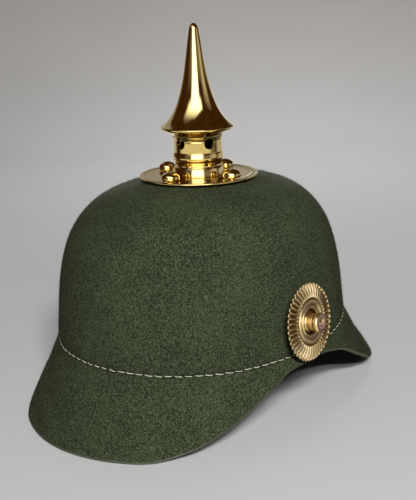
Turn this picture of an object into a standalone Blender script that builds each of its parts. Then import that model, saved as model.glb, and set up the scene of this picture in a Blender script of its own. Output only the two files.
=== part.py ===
"""Pickelhaube in green felt with gilt fittings.

Metres, +Z up. The front of the helmet faces -Y and the wearer's right faces -X.
The origin is on the table, in the middle of the helmet's length and width.
"""

from bisect import bisect_right
from collections import namedtuple
from math import acos, cos, degrees, hypot, pi, radians, sin

import bmesh
import bpy
from mathutils import Matrix, Vector

# Gap between pieces that touch on the real helmet
CLEARANCE = 0.0003

# Felt crown and brim, moulded as one piece. The seam is the stitched line between them
FELT_WALL = 0.0026
SEAM_REAR = 0.1062
SEAM_FRONT = 0.1060
SEAM_SIDE = 0.0927
SEAM_SQUARENESS = 2.07
SEAM_HEIGHT = 0.0454
SEAM_FRONT_RISE = 0.0013
SEAM_SIDE_SAG = 0.0009
CROWN_TOP = 0.1465
CROWN_VENT_RADIUS = 0.0110
BRIM_REAR = 0.0309
BRIM_SIDE = 0.0035
BRIM_FRONT = 0.0406
ARCH_HEIGHT = 0.0381

# Base plate, a turned disc whose floor lies PLATE_RECESS under its rolled edge
PLATE_RADIUS = 0.0400
PLATE_THICKNESS = 0.0013
PLATE_EDGE_ROLL = 0.0008
PLATE_RECESS = 0.0006
PLATE_GROOVE_INSET = 0.0028
PLATE_VENT_RADIUS = 0.0125

# Round-headed studs on the plate, each head rounded in below its widest by STUD_UNDERCUT degrees
STUD_INSET = 0.0116
STUD_CIRCLE = PLATE_RADIUS - STUD_INSET
STUD_HEAD_RADIUS = 0.0061
STUD_HEIGHT = 0.0057
STUD_STEM_RADIUS = 0.0030
STUD_STEM_HEIGHT = 0.0004
STUD_UNDERCUT = 15

# Neck, a hollow turned tube with a row of vent holes
NECK_RADIUS = 0.0165
NECK_HEIGHT = 0.0263
NECK_WALL = 0.0013
VENT_COUNT = 5
VENT_TURN = -3.6
VENT_HOLE_RADIUS = 0.0035
VENT_HOLE_LEVEL = 0.0216

# Spike, hollow, with a flared lip that overhangs the neck
SPIKE_LIP_RADIUS = 0.0245
SPIKE_LIP_LEVEL = 0.0053
SPIKE_LIP_EDGE = 0.0009
SPIKE_LENGTH = 0.0718
SPIKE_WALL = 0.0012
SPIKE_CAVITY_RADIUS = 0.0040

# Side rosettes, fluted discs on posts that pass through the felt
ROSETTE_RADIUS = 0.0248
ROSETTE_BACKSET = 0.0096
ROSETTE_LEVEL = 0.0637
ROSETTE_TILT = 7.5
ROSETTE_YAW = 2.0
ROSETTE_THICKNESS = 0.0051
ROSETTE_DISH = 0.0017
ROSETTE_EDGE = 0.0014
ROSETTE_HUB_RADIUS = 0.0125
FLUTES = 42
FLUTE_DEPTH = 0.0011
FLUTE_INNER_RADIUS = 0.0153
ROSETTE_HOLE_RADIUS = 0.0086
ROSETTE_WEB = 0.0009
POST_FOOT_RADIUS = 0.0068
POST_COLUMN_RADIUS = 0.0053
POST_CAP_RADIUS = 0.0063
POST_LENGTH = 0.0106
SHANK_RADIUS = 0.0025
SHANK_REACH = 0.0012

# Sides round each turned piece, and columns round the felt
FELT_COLUMNS = 56
PLATE_SIDES = 40
STUD_SIDES = 12
STUD_ROWS = 5
NECK_SIDES = 28
SPIKE_SIDES = 28
POST_SIDES = 14
DRILL_SIDES = 12
SEAT_SAMPLES = 24

BrimStation = namedtuple("BrimStation", "turn reach lift")
CrownStation = namedtuple("CrownStation", "rise spread")
FlareStation = namedtuple("FlareStation", "drop spread")
Moulding = namedtuple("Moulding", "height radius")
RosetteRing = namedtuple("RosetteRing", "radius depth")
FluteStation = namedtuple("FluteStation", "radius height groove")

# The rim by degrees from the back: reach is a share of the way from BRIM_SIDE to
# BRIM_REAR or BRIM_FRONT, lift is a share of ARCH_HEIGHT
BRIM = [
    BrimStation(turn=0, reach=1.00, lift=0.00),
    BrimStation(turn=22, reach=0.86, lift=0.00),
    BrimStation(turn=35, reach=0.62, lift=0.12),
    BrimStation(turn=45, reach=0.427, lift=0.32),
    BrimStation(turn=60, reach=0.179, lift=0.70),
    BrimStation(turn=75, reach=0.02, lift=0.97),
    BrimStation(turn=90, reach=0.00, lift=1.00),
    BrimStation(turn=105, reach=0.07, lift=0.88),
    BrimStation(turn=120, reach=0.26, lift=0.51),
    BrimStation(turn=135, reach=0.493, lift=0.134),
    BrimStation(turn=150, reach=0.717, lift=0.00),
    BrimStation(turn=165, reach=0.914, lift=0.00),
    BrimStation(turn=180, reach=1.00, lift=0.00),
]

# Crown side from the seam up: rise is a share of the crown's height over the seam,
# spread a share of the seam's radius
CROWN = [
    CrownStation(rise=0.00, spread=1.000),
    CrownStation(rise=0.05, spread=0.998),
    CrownStation(rise=0.12, spread=0.991),
    CrownStation(rise=0.30, spread=0.975),
    CrownStation(rise=0.50, spread=0.942),
    CrownStation(rise=0.68, spread=0.880),
    CrownStation(rise=0.82, spread=0.776),
    CrownStation(rise=0.92, spread=0.630),
    CrownStation(rise=0.975, spread=0.444),
    CrownStation(rise=1.00, spread=0.330),
]

# Brim from the seam down: how far it has spread at each share of its drop
FLARE = [
    FlareStation(drop=0.00, spread=0.00),
    FlareStation(drop=0.25, spread=0.236),
    FlareStation(drop=0.50, spread=0.455),
    FlareStation(drop=0.75, spread=0.74),
    FlareStation(drop=1.00, spread=1.00),
]

# Outside of the neck, in shares of NECK_HEIGHT and NECK_RADIUS
NECK = [
    Moulding(height=0.000, radius=1.042),
    Moulding(height=0.040, radius=1.055),
    Moulding(height=0.114, radius=1.036),
    Moulding(height=0.209, radius=0.988),
    Moulding(height=0.236, radius=0.940),
    Moulding(height=0.320, radius=0.940),
    Moulding(height=0.375, radius=0.985),
    Moulding(height=0.425, radius=1.030),
    Moulding(height=0.460, radius=1.036),
    Moulding(height=0.555, radius=1.006),
    Moulding(height=0.582, radius=0.985),
    Moulding(height=0.800, radius=0.985),
    Moulding(height=0.900, radius=0.995),
    Moulding(height=0.950, radius=1.024),
    Moulding(height=1.000, radius=1.055),
]

# Outside of the spike over its lip, in shares of its height there and SPIKE_LIP_RADIUS
SPIKE = [
    Moulding(height=0.000, radius=1.000),
    Moulding(height=0.030, radius=0.893),
    Moulding(height=0.061, radius=0.806),
    Moulding(height=0.121, radius=0.679),
    Moulding(height=0.182, radius=0.588),
    Moulding(height=0.303, radius=0.461),
    Moulding(height=0.425, radius=0.368),
    Moulding(height=0.546, radius=0.300),
    Moulding(height=0.668, radius=0.245),
    Moulding(height=0.789, radius=0.197),
    Moulding(height=0.900, radius=0.147),
    Moulding(height=0.960, radius=0.115),
    Moulding(height=0.990, radius=0.065),
]

# Underside of the lip, in shares of its height and of its overhang over the neck
SPIKE_UNDERSIDE = [
    Moulding(height=0.00, radius=0.00),
    Moulding(height=0.25, radius=0.22),
    Moulding(height=0.60, radius=0.60),
    Moulding(height=0.85, radius=0.91),
    Moulding(height=1.00, radius=0.98),
]

# How far up the spike its hollow is widened in steps, in shares of its height over the lip
SPIKE_CAVITY_STEPS = [0.0, 0.06, 0.14, 0.30, 0.50]

# Front of the rosette inside its flutes: radius is a share of FLUTE_INNER_RADIUS and
# depth a share of ROSETTE_THICKNESS below the flutes' crests
ROSETTE_STEPS = [
    RosetteRing(radius=0.95, depth=0.40),
    RosetteRing(radius=0.87, depth=0.40),
    RosetteRing(radius=0.83, depth=0.18),
    RosetteRing(radius=0.74, depth=0.16),
    RosetteRing(radius=0.69, depth=0.34),
]

# Fluted front of the rosette: radius is a share of the way out over the flutes, height
# a share of ROSETTE_DISH below the crests' inner ends, groove a share of FLUTE_DEPTH
FLUTE_RUN = [
    FluteStation(radius=0.00, height=0.10, groove=0.10),
    FluteStation(radius=0.14, height=0.00, groove=0.90),
    FluteStation(radius=0.60, height=0.35, groove=1.00),
    FluteStation(radius=0.94, height=0.90, groove=0.80),
]

# Outside of the post over its foot's underside, in shares of POST_LENGTH; radius is a
# share of the way from the column's radius to the foot's or the cap's
POST_FOOT = [
    Moulding(height=0.00, radius=1.00),
    Moulding(height=0.14, radius=1.00),
    Moulding(height=0.18, radius=0.45),
    Moulding(height=0.25, radius=0.00),
    Moulding(height=0.45, radius=-0.12),
]
POST_CAP = [
    Moulding(height=0.64, radius=0.00),
    Moulding(height=0.70, radius=0.75),
    Moulding(height=0.75, radius=1.00),
    Moulding(height=0.94, radius=1.00),
    Moulding(height=1.00, radius=0.60),
]


def curve_through(xs, ys, flat_ends=False):
    """Return the monotone cubic through a table's points, as a function."""
    steps = [after - before for before, after in zip(xs, xs[1:])]
    slopes = [(after - before) / step for before, after, step in zip(ys, ys[1:], steps)]
    tangents = [0.0 if flat_ends else slopes[0]]
    for before, after in zip(slopes, slopes[1:]):
        same_way = before * after > 0
        tangents.append(2 * before * after / (before + after) if same_way else 0.0)
    tangents.append(0.0 if flat_ends else slopes[-1])

    def value(x):
        i = min(max(bisect_right(xs, x) - 1, 0), len(steps) - 1)
        t = (x - xs[i]) / steps[i]
        return (
            ys[i] * (1 + 2 * t) * (1 - t) ** 2
            + tangents[i] * steps[i] * t * (1 - t) ** 2
            + ys[i + 1] * t ** 2 * (3 - 2 * t)
            + tangents[i + 1] * steps[i] * t ** 2 * (t - 1)
        )

    return value


brim_reach_share = curve_through([s.turn for s in BRIM], [s.reach for s in BRIM], True)
brim_lift_share = curve_through([s.turn for s in BRIM], [s.lift for s in BRIM], True)
crown_spread = curve_through([s.rise for s in CROWN], [s.spread for s in CROWN])
flare_spread = curve_through([s.drop for s in FLARE], [s.spread for s in FLARE])
spike_radius_share = curve_through([s.height for s in SPIKE], [s.radius for s in SPIKE])

# Places that follow from the sizes above
FRONT_REACH = SEAM_FRONT + BRIM_FRONT
REAR_REACH = SEAM_REAR + BRIM_REAR
AXIS_Y = (FRONT_REACH - REAR_REACH) / 2
PLATE_BOTTOM = CROWN_TOP + CLEARANCE
PLATE_EDGE_TOP = PLATE_BOTTOM + PLATE_THICKNESS
PLATE_SEAT = PLATE_EDGE_TOP - PLATE_RECESS
NECK_BOTTOM = PLATE_SEAT + CLEARANCE
NECK_TOP = NECK_BOTTOM + NECK_HEIGHT
NECK_BORE = min(m.radius for m in NECK) * NECK_RADIUS - NECK_WALL
SPIKE_BOTTOM = NECK_TOP + CLEARANCE
ROSETTE_Y = AXIS_Y + ROSETTE_BACKSET


def fold_turn(turn):
    """Bring any angle from the back, in degrees, into 0 to 180."""
    turn = turn % 360
    return min(turn, 360 - turn)


def seam_radius(turn):
    angle = radians(turn)
    length = SEAM_REAR if cos(angle) > 0 else SEAM_FRONT
    along = abs(cos(angle) / length) ** SEAM_SQUARENESS
    across = abs(sin(angle) / SEAM_SIDE) ** SEAM_SQUARENESS
    return (along + across) ** (-1 / SEAM_SQUARENESS)


def seam_height(turn):
    angle = radians(turn)
    return SEAM_HEIGHT - SEAM_FRONT_RISE * cos(angle) + SEAM_SIDE_SAG * cos(2 * angle)


def rim_height(turn):
    return ARCH_HEIGHT * brim_lift_share(fold_turn(turn))


def rim_reach(turn):
    end = BRIM_REAR if fold_turn(turn) < 90 else BRIM_FRONT
    return BRIM_SIDE + (end - BRIM_SIDE) * brim_reach_share(fold_turn(turn))


# Rows of the felt's facets: shares of the brim's drop, then of the crown's rise
BRIM_DROPS = [1.0, 0.72, 0.44, 0.18]
CROWN_RISES = [0.0, 0.12, 0.26, 0.40, 0.53, 0.65, 0.76, 0.85, 0.92, 0.965, 1.0]


def felt_section(turn):
    """Outside of the felt at one angle, rim to vent hole, as radius and height."""
    seam = seam_radius(turn)
    level = seam_height(turn)
    section = []
    for drop in BRIM_DROPS:
        radius = seam + rim_reach(turn) * flare_spread(drop)
        section.append((radius, level + (rim_height(turn) - level) * drop))
    for rise in CROWN_RISES:
        section.append((seam * crown_spread(rise), level + (CROWN_TOP - level) * rise))
    section.append((CROWN_VENT_RADIUS, CROWN_TOP))
    return section


def felt_lining(section):
    """Inside of the felt for one section, FELT_WALL behind the outside."""
    inside = []
    for i, (radius, height) in enumerate(section):
        below = section[max(i - 1, 0)]
        above = section[min(i + 1, len(section) - 1)]
        out = above[1] - below[1]
        up = below[0] - above[0]
        length = hypot(out, up)
        if i < len(BRIM_DROPS):
            inside.append((radius - FELT_WALL * length / out, height))
        elif i == len(section) - 1:
            inside.append((radius, height - FELT_WALL))
        else:
            inside.append((radius - FELT_WALL * out / length, height - FELT_WALL * up / length))
    return inside


def felt_place(turn, radius, height):
    angle = radians(turn)
    return Vector((-radius * sin(angle), AXIS_Y + radius * cos(angle), height))


def material(name, colour, roughness, metallic):
    made = bpy.data.materials.new(name)
    made.use_nodes = True
    shader = made.node_tree.nodes["Principled BSDF"]
    shader.inputs["Base Color"].default_value = (*colour, 1.0)
    shader.inputs["Roughness"].default_value = roughness
    shader.inputs["Metallic"].default_value = metallic
    made.diffuse_color = (*colour, 1.0)
    return made


def finish(name, mesh_data, finish_material, sharp_angle=35):
    """Close a bmesh into a named object, shaded smooth except at its sharp edges."""
    bmesh.ops.remove_doubles(mesh_data, verts=mesh_data.verts, dist=1e-6)
    bmesh.ops.recalc_face_normals(mesh_data, faces=mesh_data.faces)
    mesh = bpy.data.meshes.new(name)
    mesh_data.to_mesh(mesh)
    mesh_data.free()
    mesh.materials.append(finish_material)
    mesh.shade_smooth()
    mesh.set_sharp_from_angle(angle=radians(sharp_angle))
    made = bpy.data.objects.new(name, mesh)
    bpy.context.scene.collection.objects.link(made)
    return made


def skin_rings(mesh_data, rings, closed):
    """Join rings of equal count with quads, and the last to the first if closed."""
    rows = [[mesh_data.verts.new(point) for point in ring] for ring in rings]
    pairs = list(zip(rows, rows[1:]))
    if closed:
        pairs.append((rows[-1], rows[0]))
    for lower, upper in pairs:
        for i in range(len(lower)):
            j = (i + 1) % len(lower)
            mesh_data.faces.new((lower[i], lower[j], upper[j], upper[i]))
    return rows


def turned(profile, sides):
    """Spin a closed profile of (radius, height) about +Z into a bmesh."""
    mesh_data = bmesh.new()
    verts = [mesh_data.verts.new((radius, 0.0, height)) for radius, height in profile]
    edges = []
    for i, start in enumerate(verts):
        end = verts[(i + 1) % len(verts)]
        on_axis = start.co.x == 0 and end.co.x == 0
        if not on_axis:
            edges.append(mesh_data.edges.new((start, end)))
    bmesh.ops.spin(
        mesh_data,
        geom=verts + edges,
        cent=(0, 0, 0),
        axis=(0, 0, 1),
        angle=2 * pi,
        steps=sides,
        use_merge=True,
    )
    bmesh.ops.remove_doubles(mesh_data, verts=mesh_data.verts, dist=1e-6)
    return mesh_data


def cutter(name, mesh_data):
    """Make a hidden guide object whose volume is cut from a piece."""
    made = finish(name, mesh_data, material(name, (0.8, 0.1, 0.1), 0.5, 0.0))
    made.hide_render = True
    made.display_type = "WIRE"
    return made


def cut(piece, tool):
    boolean = piece.modifiers.new(tool.name, "BOOLEAN")
    boolean.operation = "DIFFERENCE"
    boolean.object = tool


def rod(radius, length):
    """A bmesh cylinder along +Z that starts at the origin."""
    return turned([(0, 0), (radius, 0), (radius, length), (0, length)], DRILL_SIDES)


def felt_shell(felt):
    turns = [360 * i / FELT_COLUMNS for i in range(FELT_COLUMNS)]
    outside = [felt_section(turn) for turn in turns]
    inside = [felt_lining(section) for section in outside]
    rings = []
    for row in range(len(outside[0])):
        rings.append([felt_place(turn, *s[row]) for turn, s in zip(turns, outside)])
    for row in reversed(range(len(inside[0]))):
        rings.append([felt_place(turn, *s[row]) for turn, s in zip(turns, inside)])
    mesh_data = bmesh.new()
    skin_rings(mesh_data, rings, closed=True)
    return finish("felt_shell", mesh_data, felt, sharp_angle=50)


def base_plate(gilt):
    edge = PLATE_RADIUS
    roll = PLATE_EDGE_ROLL
    groove = edge - PLATE_GROOVE_INSET
    profile = [
        (PLATE_VENT_RADIUS, PLATE_BOTTOM),
        (edge - roll, PLATE_BOTTOM),
        (edge, PLATE_BOTTOM + roll / 2),
        (edge, PLATE_EDGE_TOP - roll / 3),
        (edge - roll, PLATE_EDGE_TOP),
        (groove + roll / 2, PLATE_EDGE_TOP - roll / 4),
        (groove, PLATE_EDGE_TOP - roll / 2),
        (groove - roll / 2, PLATE_EDGE_TOP - roll / 4),
        (STUD_CIRCLE + STUD_HEAD_RADIUS, PLATE_SEAT),
        (PLATE_VENT_RADIUS, PLATE_SEAT),
    ]
    made = finish("base_plate", turned(profile, PLATE_SIDES), gilt)
    made.location.y = AXIS_Y
    return made


def stud(name, turn, gilt):
    """One stud with a rounded head, at an angle from the back."""
    rounding = (STUD_HEIGHT - STUD_STEM_HEIGHT) / (1 + sin(radians(STUD_UNDERCUT)))
    profile = [(0, 0), (STUD_STEM_RADIUS, 0), (STUD_STEM_RADIUS, STUD_STEM_HEIGHT)]
    for step in range(STUD_ROWS):
        angle = radians(-STUD_UNDERCUT + (90 + STUD_UNDERCUT) * step / STUD_ROWS)
        height = STUD_HEIGHT - rounding * (1 - sin(angle))
        profile.append((STUD_HEAD_RADIUS * cos(angle), height))
    profile.append((0, STUD_HEIGHT))
    made = finish(name, turned(profile, STUD_SIDES), gilt)
    angle = radians(turn)
    made.location = (
        -STUD_CIRCLE * sin(angle),
        AXIS_Y + STUD_CIRCLE * cos(angle),
        PLATE_SEAT + CLEARANCE,
    )
    return made


def spike_neck(gilt):
    profile = [(NECK_BORE, NECK_HEIGHT), (NECK_BORE, 0)]
    profile += [(NECK_RADIUS * m.radius, NECK_HEIGHT * m.height) for m in NECK]
    made = finish("spike_neck", turned(profile, NECK_SIDES), gilt)
    made.location = (0, AXIS_Y, NECK_BOTTOM)
    drills = bmesh.new()
    for i in range(VENT_COUNT):
        drill = rod(VENT_HOLE_RADIUS, NECK_RADIUS)
        drill.transform(Matrix.Translation((0, 0, NECK_BORE * 0.6)))
        point_back = Matrix.Rotation(radians(-90), 4, "X")
        around = Matrix.Rotation(2 * pi * i / VENT_COUNT + radians(VENT_TURN), 4, "Z")
        drill.transform(around @ point_back)
        held = bpy.data.meshes.new("vent_drill")
        drill.to_mesh(held)
        drill.free()
        drills.from_mesh(held)
        bpy.data.meshes.remove(held)
    tool = cutter("vent_drills", drills)
    tool.location = (0, AXIS_Y, NECK_BOTTOM + VENT_HOLE_LEVEL)
    cut(made, tool)
    return made


def spike(gilt):
    """The spike as one hollow turning, open below into the neck."""
    over_lip = SPIKE_LENGTH - SPIKE_LIP_LEVEL
    lip_bottom = SPIKE_LIP_LEVEL - SPIKE_LIP_EDGE
    seat = NECK_RADIUS * NECK[-1].radius
    profile = []
    for station in SPIKE_UNDERSIDE:
        radius = seat + (SPIKE_LIP_RADIUS - seat) * station.radius
        profile.append((radius, lip_bottom * station.height))
    for station in SPIKE:
        height = SPIKE_LIP_LEVEL + over_lip * station.height
        profile.append((SPIKE_LIP_RADIUS * station.radius, height))
    profile.append((0, SPIKE_LENGTH))
    cavity = []
    for share in SPIKE_CAVITY_STEPS:
        radius = SPIKE_LIP_RADIUS * spike_radius_share(share) - SPIKE_WALL
        height = SPIKE_LIP_LEVEL + over_lip * share
        if radius > SPIKE_CAVITY_RADIUS:
            cavity.append((min(radius, NECK_BORE), height))
    profile.append((0, cavity[-1][1] + SPIKE_WALL))
    profile += reversed(cavity)
    profile.append((NECK_BORE, 0))
    made = finish("spike", turned(profile, SPIKE_SIDES), gilt)
    made.location = (0, AXIS_Y, SPIKE_BOTTOM)
    return made


def felt_radius_at(turn, height):
    """Radius of the felt's outside at one angle and height."""
    section = felt_section(turn)
    for (r0, z0), (r1, z1) in zip(section, section[1:]):
        if z0 <= height <= z1:
            return r0 + (r1 - r0) * (height - z0) / (z1 - z0)
    return section[0][0]


def felt_out_at(y, height):
    """Distance of the felt's outside from the middle plane, at one y and height."""
    turn = 90.0
    for _ in range(12):
        radius = felt_radius_at(turn, height)
        lean = max(min((y - AXIS_Y) / radius, 1.0), -1.0)
        turn = degrees(acos(lean))
    return radius * sin(radians(turn))


def rosette_back(radius):
    """Height of the rosette's back over its hub, which sits on the felt."""
    rim_back = ROSETTE_THICKNESS - ROSETTE_DISH - ROSETTE_EDGE
    share = (radius - ROSETTE_HUB_RADIUS) / (ROSETTE_RADIUS - ROSETTE_HUB_RADIUS)
    return rim_back * max(share, 0.0)


def rosette_seat():
    """How far out the hub's back sits, so that the whole back clears the felt."""
    lean = radians(ROSETTE_TILT)
    turn = radians(ROSETTE_YAW)
    seat = 0.0
    between = (ROSETTE_HUB_RADIUS + ROSETTE_RADIUS) / 2
    for radius in (ROSETTE_HOLE_RADIUS, ROSETTE_HUB_RADIUS, between, ROSETTE_RADIUS):
        for step in range(SEAT_SAMPLES):
            angle = 2 * pi * step / SEAT_SAMPLES
            up = radius * sin(angle)
            back = radius * cos(angle)
            out = felt_out_at(ROSETTE_Y + back, ROSETTE_LEVEL + up)
            proud = CLEARANCE - rosette_back(radius) + up * sin(lean) - back * sin(turn)
            seat = max(seat, out + proud / cos(lean))
    return seat


def side_frame(seat, side):
    """Matrix from a piece turned about +Z to its place on the helmet's side."""
    lean = radians(ROSETTE_TILT)
    turn = radians(ROSETTE_YAW)
    out = Vector((side * cos(turn), -sin(turn), 0))
    up = Vector((0, 0, 1))
    outward = out * cos(lean) + up * sin(lean)
    upward = up * cos(lean) - out * sin(lean)
    forward = upward.cross(outward)
    frame = Matrix((forward, upward, outward)).transposed().to_4x4()
    frame.translation = Vector((side * seat, ROSETTE_Y, ROSETTE_LEVEL))
    return frame


def rosette_rings():
    """Rings of (radius, height) pairs round the rosette, a pair for each half flute."""
    run = ROSETTE_RADIUS - FLUTE_INNER_RADIUS
    rings = []
    for station in FLUTE_RUN:
        crest = ROSETTE_THICKNESS - ROSETTE_DISH * station.height
        radius = FLUTE_INNER_RADIUS + run * station.radius
        valley = crest - FLUTE_DEPTH * station.groove
        rings.append([(radius, crest), (radius, valley)])
    rim_back = rosette_back(ROSETTE_RADIUS)
    rim_front = ROSETTE_THICKNESS - ROSETTE_DISH * FLUTE_RUN[-1].height
    valley_radius = ROSETTE_RADIUS - FLUTE_DEPTH / 2
    middle = (rim_back + rim_front) / 2
    rings.append([(ROSETTE_RADIUS, middle), (valley_radius, middle - FLUTE_DEPTH / 5)])
    rings.append([(valley_radius, rim_back), (valley_radius, rim_back)])
    return rings


def rosette(name, side, gilt):
    """A fluted disc whose stepped middle holds the post, seated on the felt."""
    web_hole = SHANK_RADIUS + CLEARANCE
    inner = [(web_hole, 0.0), (web_hole, ROSETTE_WEB), (ROSETTE_HOLE_RADIUS, ROSETTE_WEB)]
    for ring in reversed(ROSETTE_STEPS):
        height = ROSETTE_THICKNESS * (1 - ring.depth)
        inner.append((FLUTE_INNER_RADIUS * ring.radius, height))
    fluted = rosette_rings()
    mesh_data = bmesh.new()

    def ring_verts(pairs, count):
        made = []
        for i in range(count):
            angle = 2 * pi * i / count
            radius, height = pairs[i % len(pairs)]
            place = (radius * cos(angle), radius * sin(angle), height)
            made.append(mesh_data.verts.new(place))
        return made

    def bridge(coarse, fine):
        ratio = len(fine) // len(coarse)
        for i, start in enumerate(coarse):
            j = (i + 1) % len(coarse)
            for step in range(ratio):
                first = fine[i * ratio + step]
                second = fine[(i * ratio + step + 1) % len(fine)]
                if step < ratio - 1:
                    mesh_data.faces.new((start, first, second))
                else:
                    mesh_data.faces.new((start, first, second, coarse[j]))

    coarse_rows = [ring_verts([pair], FLUTES) for pair in inner]
    for lower, upper in zip(coarse_rows, coarse_rows[1:]):
        bridge(lower, upper)
    fine_rows = [ring_verts(pairs, 2 * FLUTES) for pairs in fluted]
    bridge(coarse_rows[-1], fine_rows[0])
    for lower, upper in zip(fine_rows, fine_rows[1:]):
        bridge(lower, upper)
    hub = ring_verts([(ROSETTE_HUB_RADIUS, 0.0)], FLUTES)
    bridge(hub, fine_rows[-1])
    bridge(hub, coarse_rows[0])
    made = finish(name, mesh_data, gilt, sharp_angle=40)
    made.matrix_world = side_frame(rosette_seat(), side)
    return made


def rosette_post(name, side, brass):
    """A capped post that holds the rosette, with its shank through the felt."""
    seat = rosette_seat()
    gap = seat - felt_out_at(ROSETTE_Y, ROSETTE_LEVEL)
    foot = ROSETTE_WEB + CLEARANCE
    shank_end = -(gap + FELT_WALL + SHANK_REACH)
    profile = [(0, shank_end), (SHANK_RADIUS, shank_end), (SHANK_RADIUS, foot)]
    for table, wide in ((POST_FOOT, POST_FOOT_RADIUS), (POST_CAP, POST_CAP_RADIUS)):
        for station in table:
            radius = POST_COLUMN_RADIUS + (wide - POST_COLUMN_RADIUS) * station.radius
            profile.append((radius, foot + POST_LENGTH * station.height))
    profile.append((0, foot + POST_LENGTH))
    made = finish(name, turned(profile, POST_SIDES), brass)
    made.matrix_world = side_frame(seat, side)
    return made


def shank_drill(name, side):
    """The guide that cuts the felt's hole for one post."""
    drill = rod(SHANK_RADIUS + CLEARANCE, 4 * FELT_WALL)
    drill.transform(Matrix.Translation((0, 0, -3 * FELT_WALL)))
    made = cutter(name, drill)
    made.matrix_world = side_frame(rosette_seat(), side)
    return made


def build_helmet():
    felt = material("green_felt", (0.045, 0.060, 0.032), 0.95, 0.0)
    polished = material("polished_brass", (0.78, 0.55, 0.20), 0.12, 1.0)
    gilt = material("rosette_gilt", (0.72, 0.50, 0.22), 0.25, 1.0)
    capped = material("post_brass", (0.74, 0.50, 0.32), 0.22, 1.0)
    helmet = bpy.data.objects.new("helmet", None)
    bpy.context.scene.collection.objects.link(helmet)
    shell = felt_shell(felt)
    pieces = [shell, base_plate(polished), spike_neck(polished), spike(polished)]
    for name, turn in (("rear", 0), ("right", 90), ("front", 180), ("left", 270)):
        pieces.append(stud("stud_" + name, turn, polished))
    for name, side in (("right", -1), ("left", 1)):
        pieces.append(rosette("rosette_" + name, side, gilt))
        pieces.append(rosette_post("rosette_post_" + name, side, capped))
        cut(shell, shank_drill("shank_drill_" + name, side))
    for piece in pieces:
        piece.parent = helmet


for old in list(bpy.data.objects):
    bpy.data.objects.remove(old, do_unlink=True)
build_helmet()
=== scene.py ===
"""Looks of a spiked felt helmet: nap, stitches, polished brass and gilt rosettes.

It is laid out as an add-on with one operator for each kind of piece, and runs as a script
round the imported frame. Lengths are metres, +Z is up and the front of the helmet is -Y.
"""

from bisect import bisect_right
from collections import namedtuple
from math import cos, degrees, exp, hypot, pi, radians, sin

import bmesh
import bpy
from bpy.props import (
    FloatProperty,
    FloatVectorProperty,
    IntProperty,
    PointerProperty,
)
from mathutils import Matrix, Vector, noise


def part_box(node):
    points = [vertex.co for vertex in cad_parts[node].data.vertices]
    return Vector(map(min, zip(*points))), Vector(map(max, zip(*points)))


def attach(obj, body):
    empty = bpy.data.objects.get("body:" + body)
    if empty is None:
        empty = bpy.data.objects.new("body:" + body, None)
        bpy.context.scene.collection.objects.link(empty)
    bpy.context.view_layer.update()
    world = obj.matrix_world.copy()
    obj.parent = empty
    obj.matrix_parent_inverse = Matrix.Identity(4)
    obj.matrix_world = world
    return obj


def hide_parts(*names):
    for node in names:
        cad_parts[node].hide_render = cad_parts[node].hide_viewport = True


bl_info = {
    "name": "Spiked felt helmet",
    "version": (1, 0, 0),
    "blender": (4, 5, 0),
    "location": "3D View > Sidebar > Helmet",
    "description": "Makes a felt helmet with a brass spike and gilt rosettes",
    "category": "Add Mesh",
}

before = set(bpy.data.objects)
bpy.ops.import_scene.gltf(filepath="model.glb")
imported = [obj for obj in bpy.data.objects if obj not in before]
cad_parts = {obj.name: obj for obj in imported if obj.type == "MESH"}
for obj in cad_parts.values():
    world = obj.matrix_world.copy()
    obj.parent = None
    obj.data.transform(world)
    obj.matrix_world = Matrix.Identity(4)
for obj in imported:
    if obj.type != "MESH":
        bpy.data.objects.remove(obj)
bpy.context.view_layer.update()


def centre_of(node):
    low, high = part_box(node)
    return (low + high) / 2


def half_width_of(node):
    low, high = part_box(node)
    return (high.x - low.x) / 2


# Places and sizes read from the frame
AXIS_Y = centre_of("base_plate").y
CROWN_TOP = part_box("felt_shell")[1].z
PLATE_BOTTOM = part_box("base_plate")[0].z
PLATE_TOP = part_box("base_plate")[1].z
PLATE_RADIUS = half_width_of("base_plate")
NECK_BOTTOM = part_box("spike_neck")[0].z
NECK_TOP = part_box("spike_neck")[1].z
SPIKE_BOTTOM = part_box("spike")[0].z
SPIKE_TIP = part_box("spike")[1].z
SPIKE_LIP_RADIUS = half_width_of("spike")
ROSETTE_RADIUS = (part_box("rosette_right")[1].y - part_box("rosette_right")[0].y) / 2
STUD_NODES = ("stud_rear", "stud_right", "stud_front", "stud_left")
STUD_CIRCLE = centre_of("stud_rear").y - AXIS_Y
STUD_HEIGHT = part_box("stud_rear")[1].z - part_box("stud_rear")[0].z
STUD_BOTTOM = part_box("stud_rear")[0].z
PLATE_SEAT = STUD_BOTTOM - 0.0003
ROSETTE_TILT = radians(7.5)
ROSETTE_YAW = radians(2.0)
HUB_RADIUS = 0.0125
RIM_LEVEL = 0.0028
ROSETTE_SLANT = hypot(sin(ROSETTE_TILT) * cos(ROSETTE_YAW), sin(ROSETTE_YAW))
ROSETTE_SEAT = -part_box("rosette_right")[1].x + HUB_RADIUS * ROSETTE_SLANT
ROSETTE_Y = centre_of("rosette_right").y + RIM_LEVEL * cos(ROSETTE_TILT) * sin(ROSETTE_YAW)
ROSETTE_LEVEL = centre_of("rosette_right").z - RIM_LEVEL * sin(ROSETTE_TILT)

# The felt's plan and profile, as in the frame's felt node
SEAM_REAR = 0.1062
SEAM_FRONT = 0.1060
SEAM_SIDE = 0.0927
SEAM_SQUARENESS = 2.07
SEAM_HEIGHT = 0.0454
SEAM_FRONT_RISE = 0.0013
SEAM_SIDE_SAG = 0.0009
BRIM_REAR = 0.0309
BRIM_SIDE = 0.0035
BRIM_FRONT = 0.0406
ARCH_HEIGHT = 0.0381
CROWN_VENT_RADIUS = 0.0110

BrimStation = namedtuple("BrimStation", "turn reach lift")
Station = namedtuple("Station", "along across")

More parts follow.
